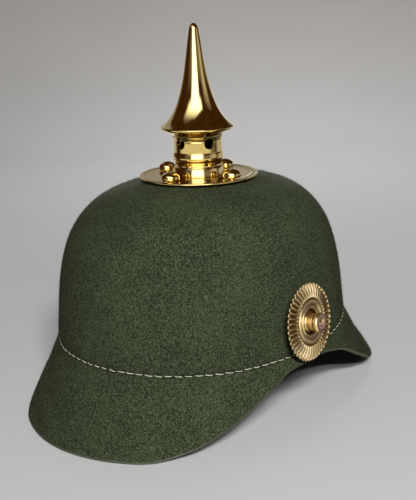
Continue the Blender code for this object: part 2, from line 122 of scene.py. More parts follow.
# The rim by degrees from the back: reach is a share of the way from BRIM_SIDE to
# BRIM_REAR or BRIM_FRONT, lift is a share of ARCH_HEIGHT
BRIM = [
    BrimStation(turn=0, reach=1.00, lift=0.00),
    BrimStation(turn=22, reach=0.86, lift=0.00),
    BrimStation(turn=35, reach=0.62, lift=0.12),
    BrimStation(turn=45, reach=0.427, lift=0.32),
    BrimStation(turn=60, reach=0.179, lift=0.70),
    BrimStation(turn=75, reach=0.02, lift=0.97),
    BrimStation(turn=90, reach=0.00, lift=1.00),
    BrimStation(turn=105, reach=0.07, lift=0.88),
    BrimStation(turn=120, reach=0.26, lift=0.51),
    BrimStation(turn=135, reach=0.493, lift=0.134),
    BrimStation(turn=150, reach=0.717, lift=0.00),
    BrimStation(turn=165, reach=0.914, lift=0.00),
    BrimStation(turn=180, reach=1.00, lift=0.00),
]

# Crown from the seam up: share of its rise, then share of the seam's radius
CROWN = [
    Station(along=0.00, across=1.000),
    Station(along=0.05, across=0.998),
    Station(along=0.12, across=0.991),
    Station(along=0.30, across=0.975),
    Station(along=0.50, across=0.942),
    Station(along=0.68, across=0.880),
    Station(along=0.82, across=0.776),
    Station(along=0.92, across=0.630),
    Station(along=0.975, across=0.444),
    Station(along=1.00, across=0.330),
]

# Brim from the seam down: share of its drop, then share of its spread
FLARE = [
    Station(along=0.00, across=0.00),
    Station(along=0.25, across=0.236),
    Station(along=0.50, across=0.455),
    Station(along=0.75, across=0.74),
    Station(along=1.00, across=1.00),
]

# Outside of the spike over its lip: share of its height, then share of the lip's radius
SPIKE = [
    Station(along=0.000, across=1.000),
    Station(along=0.030, across=0.893),
    Station(along=0.061, across=0.806),
    Station(along=0.121, across=0.679),
    Station(along=0.182, across=0.588),
    Station(along=0.303, across=0.461),
    Station(along=0.425, across=0.368),
    Station(along=0.546, across=0.300),
    Station(along=0.668, across=0.245),
    Station(along=0.789, across=0.197),
    Station(along=0.900, across=0.147),
    Station(along=0.960, across=0.115),
    Station(along=0.990, across=0.065),
]

# Underside of the spike's lip: share of its height, then share of its overhang
UNDERSIDE = [
    Station(along=0.00, across=0.00),
    Station(along=0.25, across=0.22),
    Station(along=0.60, across=0.60),
    Station(along=0.85, across=0.91),
    Station(along=1.00, across=0.98),
]

# Outside of the neck: height over its foot, then radius
NECK = [
    Station(along=-0.0002, across=0.01735),
    Station(along=0.0000, across=0.01745),
    Station(along=0.0010, across=0.01740),
    Station(along=0.0030, across=0.01705),
    Station(along=0.0048, across=0.01660),
    Station(along=0.0055, across=0.01630),
    Station(along=0.0058, across=0.01580),
    Station(along=0.0061, across=0.01550),
    Station(along=0.0066, across=0.01545),
    Station(along=0.0078, across=0.01555),
    Station(along=0.0090, across=0.01580),
    Station(along=0.0096, across=0.01605),
    Station(along=0.0100, across=0.01635),
    Station(along=0.0106, across=0.01680),
    Station(along=0.0113, across=0.01700),
    Station(along=0.0121, across=0.01710),
    Station(along=0.0135, across=0.01685),
    Station(along=0.0146, across=0.01660),
    Station(along=0.0151, across=0.01640),
    Station(along=0.0153, across=0.01625),
    Station(along=0.0170, across=0.01625),
    Station(along=0.0228, across=0.01630),
    Station(along=0.0234, across=0.01625),
    Station(along=0.0238, across=0.01650),
    Station(along=0.0250, across=0.01690),
    Station(along=0.0263, across=0.01740),
]


class FeltLooks(bpy.types.PropertyGroup):
    wall: FloatProperty(
        name="Wall",
        description="Thickness of the felt",
        default=0.0026,
        unit="LENGTH",
    )
    unevenness: FloatProperty(
        name="Unevenness",
        description="How far the blocked felt wanders from its true form",
        default=0.00045,
        unit="LENGTH",
    )
    groove: FloatProperty(
        name="Seam groove",
        description="How deep the stitches pull the felt in",
        default=0.00055,
        unit="LENGTH",
    )
    dark: FloatVectorProperty(
        name="Dark wool",
        description="Colour of the felt's darker fibres",
        default=(0.013, 0.017, 0.0065),
        subtype="COLOR",
    )
    green: FloatVectorProperty(
        name="Green wool",
        description="Colour of most of the felt",
        default=(0.053, 0.067, 0.030),
        subtype="COLOR",
    )
    # Pale fibres of the mixture, which also stand in for painted glints; a dimmer pale paints the
    # highlight on the cut edge
    pale: FloatVectorProperty(
        name="Pale fibres",
        description="Colour of the light fibres in the mixture",
        default=(0.175, 0.195, 0.140),
        subtype="COLOR",
    )
    contrast: FloatProperty(
        name="Grain contrast",
        description="How strongly the dark and light fibres stand apart",
        default=10.0,
    )
    hairs: FloatProperty(
        name="Nap density",
        description="Loose fibres on each square metre of the outside",
        default=170000.0,
    )
    hair_length: FloatProperty(
        name="Nap length",
        description="Length of the longest loose fibres",
        default=0.0026,
        unit="LENGTH",
    )
    hair_thickness: FloatProperty(
        name="Nap thickness",
        description="Thickness of a loose fibre at its root",
        default=0.00011,
        unit="LENGTH",
    )


class StitchLooks(bpy.types.PropertyGroup):
    count: IntProperty(
        name="Stitches",
        description="Number of stitches round the seam",
        default=102,
        min=12,
    )
    thread: FloatProperty(
        name="Thread",
        description="Diameter of the thread",
        default=0.00054,
        unit="LENGTH",
    )
    share: FloatProperty(
        name="Shown share",
        description="Share of each stitch's pitch that lies on the outside",
        default=0.78,
        subtype="FACTOR",
    )
    seed: IntProperty(
        name="Seed",
        description="Seed of the stitches' small differences",
        default=7,
    )
    colour: FloatVectorProperty(
        name="Thread colour",
        description="Colour of the stitching",
        default=(0.60, 0.62, 0.45),
        subtype="COLOR",
    )


class BrassLooks(bpy.types.PropertyGroup):
    polished: FloatVectorProperty(
        name="Polished brass",
        description="Colour of the spike, its neck, the plate and the studs",
        default=(0.86, 0.68, 0.31),
        subtype="COLOR",
    )
    gilt: FloatVectorProperty(
        name="Gilt",
        description="Colour of the rosettes' raised parts",
        default=(1.0, 0.85, 0.56),
        subtype="COLOR",
    )
    # Painted shade deep between the crests of the flutes, in the rosettes' coves and on their backs
    flute_shade: FloatVectorProperty(
        name="Toned flutes",
        description="Colour of the gilding deep between the crests of the flutes",
        default=(0.19, 0.098, 0.030),
        subtype="COLOR",
    )
    column: FloatVectorProperty(
        name="Post columns",
        description="Colour of the posts in the rosettes",
        default=(1.0, 0.80, 0.50),
        subtype="COLOR",
    )
    # Painted shade on the posts' feet and shanks, deep in the rosettes' holes
    post_foot_shade: FloatVectorProperty(
        name="Toned post feet",
        description="Colour of the hidden ends of the posts",
        default=(0.23, 0.145, 0.057),
        subtype="COLOR",
    )
    rose: FloatVectorProperty(
        name="Cap faces",
        description="Colour of the flat faces of the posts' caps",
        default=(1.0, 0.74, 0.62),
        subtype="COLOR",
    )
    # Painted shade: the beads round the caps are painted near black for the dark gaps between them
    cap_bead_shade: FloatVectorProperty(
        name="Cap beads",
        description="Colour of the toned beads round the faces of the caps",
        default=(0.045, 0.020, 0.012),
        subtype="COLOR",
    )
    roughness: FloatProperty(
        name="Roughness",
        description="Roughness of the polish",
        default=0.09,
        subtype="FACTOR",
    )


class FittingSizes(bpy.types.PropertyGroup):
    vents: IntProperty(
        name="Vent holes",
        description="Number of holes round the neck",
        default=5,
        min=1,
    )
    vent_radius: FloatProperty(
        name="Vent radius",
        description="Radius of each hole in the neck",
        default=0.0035,
        unit="LENGTH",
    )
    vent_level: FloatProperty(
        name="Vent level",
        description="Height of the holes' middles over the neck's foot",
        default=0.0216,
        unit="LENGTH",
    )
    vent_turn: FloatProperty(
        name="Vent turn",
        description="Turn of the first hole from the back of the helmet",
        default=radians(-3.6),
        unit="ROTATION",
    )
    flutes: IntProperty(
        name="Flutes",
        description="Number of flutes round a rosette",
        default=42,
        min=6,
    )
    flute_depth: FloatProperty(
        name="Flute depth",
        description="Depth of the hollows between the flutes",
        default=0.0023,
        unit="LENGTH",
    )
    knurls: IntProperty(
        name="Knurls",
        description="Number of beads round the edge of a post's cap",
        default=24,
        min=6,
    )


class StageLooks(bpy.types.PropertyGroup):
    floor: FloatVectorProperty(
        name="Floor",
        description="Colour of the pale floor",
        default=(0.555, 0.555, 0.56),
        subtype="COLOR",
    )
    wall: FloatVectorProperty(
        name="Wall",
        description="Colour of the backdrop's upper part",
        default=(0.64, 0.60, 0.56),
        subtype="COLOR",
    )
    high: FloatProperty(
        name="Upper pane",
        description="Power of the larger, higher light beside the camera",
        default=25.0,
        unit="POWER",
    )
    low: FloatProperty(
        name="Lower pane",
        description="Power of the narrow, lower light beside the camera",
        default=7.0,
        unit="POWER",
    )
    back: FloatProperty(
        name="Back light",
        description="Power of the light that falls on the floor behind the helmet",
        default=2.25,
        unit="POWER",
    )
    far_side: FloatProperty(
        name="Far side light",
        description="Power of the light that falls on the felt from beyond the helmet",
        default=7.0,
        unit="POWER",
    )
    overhead: FloatProperty(
        name="Overhead light",
        description="Power of the wide light above the helmet",
        default=0.2,
        unit="POWER",
    )
    ambient: FloatProperty(
        name="Ambient light",
        description="Strength of the light from all round",
        default=0.0,
    )
    window: FloatProperty(
        name="Mirrored window",
        description="Brightness of the window that the brass mirrors",
        default=3.0,
    )


class HelmetLooks(bpy.types.PropertyGroup):
    felt: PointerProperty(type=FeltLooks)
    stitching: PointerProperty(type=StitchLooks)
    brass: PointerProperty(type=BrassLooks)
    fittings: PointerProperty(type=FittingSizes)
    stage: PointerProperty(type=StageLooks)


class Value:
    """A node's output socket, with arithmetic that adds Math nodes."""

    def __init__(self, maker, socket):
        self.maker = maker
        self.socket = socket

    def math(self, operation, *operands):
        sockets = dict(enumerate(operands))
        return self.maker.node("ShaderNodeMath", {"operation": operation}, sockets)

    def __add__(self, other):
        return self.math("ADD", self, other)

    def __radd__(self, other):
        return self.math("ADD", other, self)

    def __sub__(self, other):
        return self.math("SUBTRACT", self, other)

    def __rsub__(self, other):
        return self.math("SUBTRACT", other, self)

    def __mul__(self, other):
        return self.math("MULTIPLY", self, other)

    def __rmul__(self, other):
        return self.math("MULTIPLY", other, self)

    def __truediv__(self, other):
        return self.math("DIVIDE", self, other)

    def __rtruediv__(self, other):
        return self.math("DIVIDE", other, self)

    def __pow__(self, other):
        return self.math("POWER", self, other)

    def __abs__(self):
        return self.math("ABSOLUTE", self)

    def clamped(self):
        return self.maker.node(
            "ShaderNodeMath", {"operation": "ADD", "use_clamp": True}, {0: self, 1: 0.0}
        )


class Maker:
    """Adds nodes to one tree."""

    def __init__(self, tree):
        self.tree = tree

    def node(self, kind, settings=None, sockets=None, output=0):
        """Add a node, set it, fill its sockets with numbers or links, return an output."""
        made = self.tree.nodes.new(kind)
        for name, setting in (settings or {}).items():
            setattr(made, name, setting)
        for key, value in (sockets or {}).items():
            if isinstance(value, Value):
                self.tree.links.new(value.socket, made.inputs[key])
            else:
                made.inputs[key].default_value = value
        return Value(self, made.outputs[output]) if made.outputs else made

    def mix(self, share, first, second):
        sockets = {0: share, 6: first, 7: second}
        return self.node("ShaderNodeMix", {"data_type": "RGBA"}, sockets, 2)

    def attribute(self, name):
        return self.node("ShaderNodeAttribute", {"attribute_name": name}, {}, "Fac")

    def noise(self, place, scale, detail=2.0, roughness=0.5):
        sockets = {"Vector": place, "Scale": scale, "Detail": detail}
        sockets["Roughness"] = roughness
        return self.node("ShaderNodeTexNoise", {}, sockets)


def opaque(colour):
    return (*colour[:3], 1.0)


def scaled(colour, share):
    return tuple(channel * share for channel in colour)


def new_material(name):
    """Start a material: returns it, its maker and the place in object space."""
    made = bpy.data.materials.new(name)
    made.use_nodes = True
    made.node_tree.nodes.clear()
    maker = Maker(made.node_tree)
    place = maker.node("ShaderNodeTexCoord", {}, {}, "Object")
    return made, maker, place


def finish_material(maker, varying, fixed):
    """End a material in a Principled shader and an output."""
    shader = maker.node("ShaderNodeBsdfPrincipled", {}, {**fixed, **varying})
    maker.node("ShaderNodeOutputMaterial", {}, {"Surface": shader})


def bump(maker, height, distance, strength):
    sockets = {"Height": height, "Distance": distance, "Strength": strength}
    return maker.node("ShaderNodeBump", {}, sockets)


def felt_material(looks):
    """Wool felt: speckled greens, curled pale fibres that also stand in for painted glints, and soft
    sheen; a painted highlight along the cut edge, painted shade in the seam's groove and round the
    stitch holes, and near-black painted shade over the inside.
    """
    made, maker, place = new_material("felt")
    patches = maker.noise(place, 30.0, 3.0, 0.55)
    mottle = maker.noise(place, 520.0, 3.0, 0.6)
    grain = maker.noise(place, 1150.0, 3.0, 0.8)
    curls = maker.noise(place, 1100.0, 1.0, 0.5)
    fibres = (1.0 - abs(curls - 0.5) * 16.0).clamped()
    tone = (grain - 0.5) * looks.contrast + (mottle - 0.5) * 1.2 + (patches - 0.5) * 1.5 + 0.55
    body = maker.mix(tone.clamped(), opaque(looks.dark), opaque(looks.green))
    # Pale fibres of the mixture, which also stand in for painted glints
    lit = ((grain - 0.56) * 8.0).clamped() * 0.6 + fibres * ((mottle - 0.5) * 5.0).clamped() * 0.4
    napped = maker.mix(lit.clamped(), body, opaque(looks.pale))
    edge = maker.attribute("cut_edge")
    crease = maker.attribute("crease")
    inside = maker.attribute("inside_face")
    # Painted highlight: the cut edge is painted paler, as if catching the light
    colour = maker.mix(edge, napped, opaque(scaled(looks.pale, 0.8)))
    # Painted shade: near black in the seam's groove and round each stitch hole
    colour = maker.mix(crease * 0.85, colour, (0.004, 0.005, 0.003, 1.0))
    # Painted shade: the inside of the felt is painted near black
    colour = maker.mix(inside * 0.95, colour, (0.003, 0.003, 0.002, 1.0))
    fuzz = grain * 0.8 + fibres * 0.4 + mottle * 0.5
    normal = bump(maker, fuzz, 0.0006, 0.9)
    finish_material(
        maker,
        {"Base Color": colour, "Normal": normal},
        {"Roughness": 0.75, "Specular IOR Level": 0.12},
    )
    return made


def thread_material(looks):
    """Waxed two-ply thread: cream, with a twist."""
    made, maker, place = new_material("thread")
    wear = maker.noise(place, 300.0, 2.0)
    plies = maker.node(
        "ShaderNodeTexWave",
        {"bands_direction": "DIAGONAL"},
        {"Vector": place, "Scale": 620.0, "Distortion": 1.0},
    )
    worn = opaque(scaled(looks.colour, 0.62))
    colour = maker.mix((wear * 1.6 - 0.35).clamped(), worn, opaque(looks.colour))
    finish_material(
        maker,
        {"Base Color": colour, "Normal": bump(maker, plies, 0.0001, 0.6)},
        {"Roughness": 0.7, "Specular IOR Level": 0.3},
    )
    return made


def brass_material(name, base, shaded, roughness, tarnish=0.35):
    """Polished brass with painted shade in its hollows, faintly smeared by handling."""
    made, maker, place = new_material(name)
    smears = maker.noise(place, 70.0, 4.0, 0.6)
    specks = maker.noise(place, 900.0, 2.0, 0.5)
    hollow = maker.attribute("hollow")
    # Painted shade: the hollow attribute darkens the colour towards the shaded one, with handling
    # smears mixed in
    shade_and_smears = (hollow + (smears - 0.5) * 0.25 * (hollow + 0.15)).clamped()
    stain = (smears * 2.0 - 0.9).clamped() * tarnish
    stained = maker.mix(stain, opaque(base), opaque(scaled(base, 0.8)))
    colour = maker.mix(shade_and_smears, stained, opaque(shaded))
    rough = (smears * 0.10 + specks * 0.03 + (roughness - 0.06) + hollow * 0.22).clamped()
    finish_material(
        maker,
        {
            "Base Color": colour,
            "Roughness": rough,
            "Normal": bump(maker, smears * 0.7 + specks * 0.05, 0.00004, 0.5),
        },
        {"Metallic": 1.0},
    )
    return made


def curve_through(points, flat_ends=False):
    """Return the monotone cubic through (x, y) points, as a function."""
    xs = [point[0] for point in points]
    ys = [point[1] for point in points]
    steps = [after - before for before, after in zip(xs, xs[1:])]
    slopes = [(after - before) / step for before, after, step in zip(ys, ys[1:], steps)]
    tangents = [0.0 if flat_ends else slopes[0]]
    for before, after in zip(slopes, slopes[1:]):
        same_way = before * after > 0
        tangents.append(2 * before * after / (before + after) if same_way else 0.0)
    tangents.append(0.0 if flat_ends else slopes[-1])

    def value(x):
        i = min(max(bisect_right(xs, x) - 1, 0), len(steps) - 1)
        t = (x - xs[i]) / steps[i]
        return (
            ys[i] * (1 + 2 * t) * (1 - t) ** 2
            + tangents[i] * steps[i] * t * (1 - t) ** 2
            + ys[i + 1] * t ** 2 * (3 - 2 * t)
            + tangents[i + 1] * steps[i] * t ** 2 * (t - 1)
        )

    return value


brim_reach_share = curve_through([(s.turn, s.reach) for s in BRIM], True)
brim_lift_share = curve_through([(s.turn, s.lift) for s in BRIM], True)
crown_spread = curve_through(CROWN)
flare_spread = curve_through(FLARE)
spike_radius_share = curve_through(SPIKE)
underside_share = curve_through(UNDERSIDE)
neck_radius = curve_through(NECK)


def fold_turn(turn):
    """Bring any angle from the back, in degrees, into 0 to 180."""
    turn = turn % 360
    return min(turn, 360 - turn)


def seam_radius(turn):
    angle = radians(turn)
    length = SEAM_REAR if cos(angle) > 0 else SEAM_FRONT
    along = abs(cos(angle) / length) ** SEAM_SQUARENESS
    across = abs(sin(angle) / SEAM_SIDE) ** SEAM_SQUARENESS
    return (along + across) ** (-1 / SEAM_SQUARENESS)


def seam_height(turn):
    angle = radians(turn)
    return SEAM_HEIGHT - SEAM_FRONT_RISE * cos(angle) + SEAM_SIDE_SAG * cos(2 * angle)


def rim_height(turn):
    return ARCH_HEIGHT * brim_lift_share(fold_turn(turn))


def rim_reach(turn):
    end = BRIM_REAR if fold_turn(turn) < 90 else BRIM_FRONT
    return BRIM_SIDE + (end - BRIM_SIDE) * brim_reach_share(fold_turn(turn))


def felt_place(turn, radius, height):
    angle = radians(turn)
    return Vector((-radius * sin(angle), AXIS_Y + radius * cos(angle), height))


def turns_along_seam(count, shares):
    """Angles whose places divide the seam evenly, each step split again by shares."""
    fine = 2880
    places = [felt_place(i * 360 / fine, seam_radius(i * 360 / fine), seam_height(i * 360 / fine))
              for i in range(fine + 1)]
    reached = [0.0]
    for before, after in zip(places, places[1:]):
        reached.append(reached[-1] + (after - before).length)
    turns = []
    for stitch in range(count):
        for share in shares:
            goal = reached[-1] * (stitch + share) / count
            i = min(bisect_right(reached, goal) - 1, fine - 1)
            part = (goal - reached[i]) / (reached[i + 1] - reached[i])
            turns.append((i + part) * 360 / fine)
    return turns, reached[-1]


def spread_rows(end_gap, growth, limit):
    """Shares from 0 to 1 that start end_gap apart and grow, no step over limit."""
    rows = [0.0]
    step = end_gap
    while rows[-1] + step < 1.0:
        rows.append(rows[-1] + step)
        step = min(step * growth, limit)
    return [row / rows[-1] for row in rows]


# Rows of the felt's mesh as shares of brim and crown, with one close to the rim so that
# the painted highlight on the cut edge stays a thin line
BRIM_ROWS = list(reversed(spread_rows(0.012, 1.25, 0.06)))
BRIM_ROWS.insert(1, 0.986)
CROWN_ROWS = spread_rows(0.006, 1.25, 0.045)

# Rounding of the cut edge, as a share of the wall
EDGE_LIFT = 0.3

# Widths of the groove along the seam and of the dent at each stitch hole, and how
# strongly the felt is drawn in between two holes
GROOVE_WIDTH = 0.0017
HOLE_WIDTH = 0.0009
BETWEEN_HOLES = 0.45

# Widths of the painted shade round a stitch hole and along the seam, and its share there
HOLE_SHADE_WIDTH = 0.0011
SEAM_SHADE_WIDTH = 0.0012
SEAM_SHADE = 0.45

# How far the cut edge bulges, and how the painted highlight on the edge and the painted
# shade of the inside fade into each other over the inside's first rows
EDGE_BULGE = 0.00028
EDGE_HIGHLIGHT_FADE = (0.8, 0.2)
INSIDE_FADE = (0.0, 0.4, 0.8)

# The felt keeps its true form up to FOOT and wanders fully FOOT_FADE above it
FOOT = 0.0005
FOOT_FADE = 0.01


def felt_section(turn, wall):
    """Outside of the felt at one angle, rim to vent, as radius, height and cut share."""
    seam = seam_radius(turn)
    level = seam_height(turn)
    bottom = rim_height(turn) + wall * EDGE_LIFT
    section = []
    for drop in BRIM_ROWS[:-1]:
        radius = seam + rim_reach(turn) * flare_spread(drop)
        section.append((radius, level + (bottom - level) * drop))
    for row in CROWN_ROWS:
        rise = 1 - (1 - row) ** 1.5
        section.append((seam * crown_spread(rise), level + (CROWN_TOP - level) * rise))
    inmost = section[-1][0]
    for share in (0.3, 0.6, 1.0):
        section.append((inmost + (CROWN_VENT_RADIUS - inmost) * share, CROWN_TOP))
    return section


def soften(section, keep):
    """Average each point with its neighbours, apart from the row in keep and the ends."""
    softened = list(section)
    for i in range(1, len(section) - 1):
        if abs(i - keep) > 1:
            softened[i] = tuple(
                (a + 2 * b + c) / 4
                for a, b, c in zip(section[i - 1], section[i], section[i + 1])
            )
    return softened


def section_normals(section):
    normals = []
    for i in range(len(section)):
        below = section[max(i - 1, 0)]
        above = section[min(i + 1, len(section) - 1)]
        out = above[1] - below[1]
        up = below[0] - above[0]
        length = hypot(out, up)
        normals.append((out / length, up / length))
    return normals


def mesh_from_rings(name, rings, attributes):
    """A closed mesh of quads between rings of equal count, the last joined to the first."""
    count = len(rings[0])
    verts = [point for ring in rings for point in ring]
    faces = []
    for row in range(len(rings)):
        low = row * count
        high = (row + 1) % len(rings) * count
        for i in range(count):
            j = (i + 1) % count
            faces.append((low + i, low + j, high + j, high + i))
    mesh = bpy.data.meshes.new(name)
    mesh.from_pydata(verts, [], faces)
    for key, values in attributes.items():
        layer = mesh.attributes.new(key, "FLOAT", "POINT")
        layer.data.foreach_set("value", values)
    mesh.shade_smooth()
    return mesh


def face_outward(mesh, weld=0.0):
    """Merge a closed mesh's points within weld of each other and point its faces out."""
    work = bmesh.new()
    work.from_mesh(mesh)
    if weld:
        bmesh.ops.remove_doubles(work, verts=work.verts, dist=weld)
    bmesh.ops.recalc_face_normals(work, faces=work.faces)
    work.to_mesh(mesh)
    work.free()


def show(name, mesh, *materials):
    """Link a mesh to the scene as an object at the origin."""
    for material in materials:
        mesh.materials.append(material)
    made = bpy.data.objects.new(name, mesh)
    bpy.context.scene.collection.objects.link(made)
    return made


def wander(place, amount):
    """Small smooth departure of hand-blocked felt from its true form."""
    wide = noise.noise(place * 14.0)
    near = noise.noise(place * 55.0 + Vector((3.1, 0.7, 9.2)))
    return amount * (wide * 1.3 + near * 0.35)


def make_felt_hood(looks):
    """Crown and brims as one wall, drawn in along the seam at every stitch hole."""
    felt = looks.felt
    stitching = looks.stitching
    hole_shares = (0.0, stitching.share * 0.5, stitching.share, (1 + stitching.share) / 2)
    turns, _ = turns_along_seam(stitching.count, hole_shares)
    seam_row = len(BRIM_ROWS) - 1
    outer = []
    inner = []
    for column, turn in enumerate(turns):
        section = soften(felt_section(turn, felt.wall), seam_row)
        normals = section_normals(section)
        pulled = 1.0 if column % 2 == 0 else BETWEEN_HOLES
        seam_at = section[seam_row]
        outside = []
        inside = []
        for (radius, height), (out, up) in zip(section, normals):
            away = hypot(radius - seam_at[0], height - seam_at[1])
            dip = felt.groove * exp(-(away / GROOVE_WIDTH) ** 2)
            dip += felt.groove * 0.8 * (pulled - BETWEEN_HOLES) * exp(-(away / HOLE_WIDTH) ** 2)
            drift = wander(felt_place(turn, radius, height), felt.unevenness)
            drift *= min(1.0, max(0.0, (height - FOOT) / FOOT_FADE))
            shift = drift - dip
            outside.append((radius + out * shift, height + up * shift))
            back = shift - felt.wall + dip * 0.5
            inside.append((radius + out * back, max(height + up * back, 0.0)))
        outer.append(outside)
        inner.append(inside)
    # Each point's share of the painted highlight on the cut edge, of the painted shade in the seam's
    # groove and round the stitch holes, and of the painted shade over the inside
    rings = []
    cut_edge = []
    crease = []
    inside_face = []
    rows = len(outer[0])
    columns = len(turns)
    for row in range(rows):
        rings.append([felt_place(t, *s[row]) for t, s in zip(turns, outer)])
        cut_edge += [1.0 if row == 0 else 0.0] * columns
        inside_face += [0.0] * columns
        for column, section in enumerate(outer):
            away = hypot(section[row][0] - section[seam_row][0],
                         section[row][1] - section[seam_row][1])
            hole = exp(-(away / HOLE_SHADE_WIDTH) ** 2) if column % 2 == 0 else 0.0
            crease.append(max(hole, SEAM_SHADE * exp(-(away / SEAM_SHADE_WIDTH) ** 2)))
    for row in reversed(range(rows)):
        rings.append([felt_place(t, *s[row]) for t, s in zip(turns, inner)])
        cut_edge += [EDGE_HIGHLIGHT_FADE[row] if row < len(EDGE_HIGHLIGHT_FADE) else 0.0] * columns
        crease += [0.0] * columns
        inside_face += [INSIDE_FADE[row] if row < len(INSIDE_FADE) else 1.0] * columns
    for share in (0.84, 0.5, 0.16):
        bulge = EDGE_BULGE * (1 - (2 * share - 1) ** 2)
        ring = []
        for turn, outside, inside in zip(turns, outer, inner):
            radius = inside[0][0] + (outside[0][0] - inside[0][0]) * (1 - share)
            height = inside[0][1] + (outside[0][1] - inside[0][1]) * (1 - share)
            ring.append(felt_place(turn, radius + bulge * 0.5, max(height - bulge * 0.6, 0.0)))
        rings.append(ring)
        cut_edge += [1.0] * columns
        crease += [0.0] * columns
        inside_face += [0.0] * columns
    rings[-3:] = reversed(rings[-3:])
    layers = {"cut_edge": cut_edge, "crease": crease, "inside_face": inside_face}
    mesh = mesh_from_rings("felt_hood", rings, layers)
    face_outward(mesh)
    hood = show("felt_hood", mesh, felt_material(felt))
    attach(hood, "root")
    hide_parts("felt_shell")


def new_group(name, inputs):
    """Start a Geometry Nodes tree with named inputs; returns tree, maker, group input."""
    tree = bpy.data.node_groups.new(name, "GeometryNodeTree")
    tree.interface.new_socket("Geometry", in_out="INPUT", socket_type="NodeSocketGeometry")
    for key, kind, default in inputs:
        socket = tree.interface.new_socket(key, in_out="INPUT", socket_type=kind)
        if default is not None:
            socket.default_value = default
    tree.interface.new_socket("Geometry", in_out="OUTPUT", socket_type="NodeSocketGeometry")
    maker = Maker(tree)
    source = tree.nodes.new("NodeGroupInput")
    given = {socket.name: Value(maker, socket) for socket in source.outputs if socket.name}
    return tree, maker, given


def end_group(maker, geometry, material):
    """End a tree in Realize Instances and Set Material."""
    whole = maker.node("GeometryNodeRealizeInstances", {}, {0: geometry})
    dressed = maker.node("GeometryNodeSetMaterial", {}, {"Geometry": whole, "Material": material})
    maker.node("NodeGroupOutput", {}, {0: dressed})


def grown(name, mesh, tree, values):
    """Run a tree on a mesh with named input values and return the plain mesh it makes."""
    seed_object = show(name + "_seed", mesh)
    modifier = seed_object.modifiers.new(tree.name, "NODES")
    modifier.node_group = tree
    for item in tree.interface.items_tree:
        if item.item_type == "SOCKET" and item.in_out == "INPUT" and item.name in values:
            modifier[item.identifier] = values[item.name]
    bpy.context.view_layer.update()
    depsgraph = bpy.context.evaluated_depsgraph_get()
    made = bpy.data.meshes.new_from_object(seed_object.evaluated_get(depsgraph))
    made.name = name
    seed_object.modifiers.remove(modifier)
    bpy.data.objects.remove(seed_object)
    if not made.polygons:
        raise RuntimeError("the tree " + tree.name + " made nothing for " + name)
    return made


def nap_tree(material):
    """Loose fibres scattered over the outside of the given felt, leaning every way."""
    inputs = [
        ("Density", "NodeSocketFloat", 100000.0),
        ("Length", "NodeSocketFloat", 0.0015),
        ("Thickness", "NodeSocketFloat", 0.00008),
        ("Seed", "NodeSocketInt", 3),
    ]
    tree, maker, given = new_group("Nap on felt", inputs)
    # Hairs grow only where the felt carries no painted inside shade, that is on its outside
    inner = maker.node(
        "GeometryNodeInputNamedAttribute", {"data_type": "FLOAT"}, {"Name": "inside_face"}
    )
    outer = maker.node("FunctionNodeCompare", {"operation": "LESS_THAN"}, {0: inner, 1: 0.01})
    scatter = {
        "Mesh": given["Geometry"],
        "Selection": outer,
        "Density": given["Density"],
        "Seed": given["Seed"],
    }
    points = maker.node("GeometryNodeDistributePointsOnFaces", {}, scatter)
    facing = Value(maker, points.socket.node.outputs["Rotation"])
    lean = maker.node(
        "FunctionNodeRandomValue",
        {"data_type": "FLOAT_VECTOR"},
        {0: (-0.9, -0.9, 0.0), 1: (0.9, 0.9, 6.28), "Seed": given["Seed"]},
    )
    leaning = maker.node("FunctionNodeEulerToRotation", {}, {0: lean})
    posed = maker.node(
        "FunctionNodeRotateRotation", {"rotation_space": "LOCAL"}, {0: facing, 1: leaning}
    )
    sizes = maker.node(
        "FunctionNodeRandomValue",
        {"data_type": "FLOAT_VECTOR"},
        {0: (0.7, 0.7, 0.35), 1: (1.3, 1.3, 1.0), "Seed": given["Seed"]},
    )
    fibre = maker.node(
        "GeometryNodeMeshCone",
        {},
        {
            "Vertices": 3,
            "Radius Top": 0.0,
            "Radius Bottom": given["Thickness"] * 0.5,
            "Depth": given["Length"],
        },
    )
    hairs = maker.node(
        "GeometryNodeInstanceOnPoints",
        {},
        {"Points": points, "Instance": fibre, "Rotation": posed, "Scale": sizes},
    )
    end_group(maker, hairs, material)
    return tree


def make_nap(looks):
    """Loose fibres that soften the felt's outline."""
    felt = looks.felt
    hood = bpy.data.objects["felt_hood"].data.copy()
    made, maker, place = new_material("nap")
    shade = maker.noise(place, 1300.0, 1.0)
    body = maker.mix(shade, opaque(felt.dark), opaque(felt.green))
    # Clusters of pale tips: pale fibres, which also stand in for painted glints
    colour = maker.mix(((shade - 0.55) * 12.0).clamped() * 0.9, body, opaque(felt.pale))
    finish_material(maker, {"Base Color": colour}, {"Roughness": 0.9, "Specular IOR Level": 0.1})
    values = {
        "Density": felt.hairs,
        "Length": felt.hair_length,
        "Thickness": felt.hair_thickness,
        "Seed": looks.stitching.seed,
    }
    nap = show("nap", grown("nap", hood, nap_tree(made), values))
    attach(nap, "root")


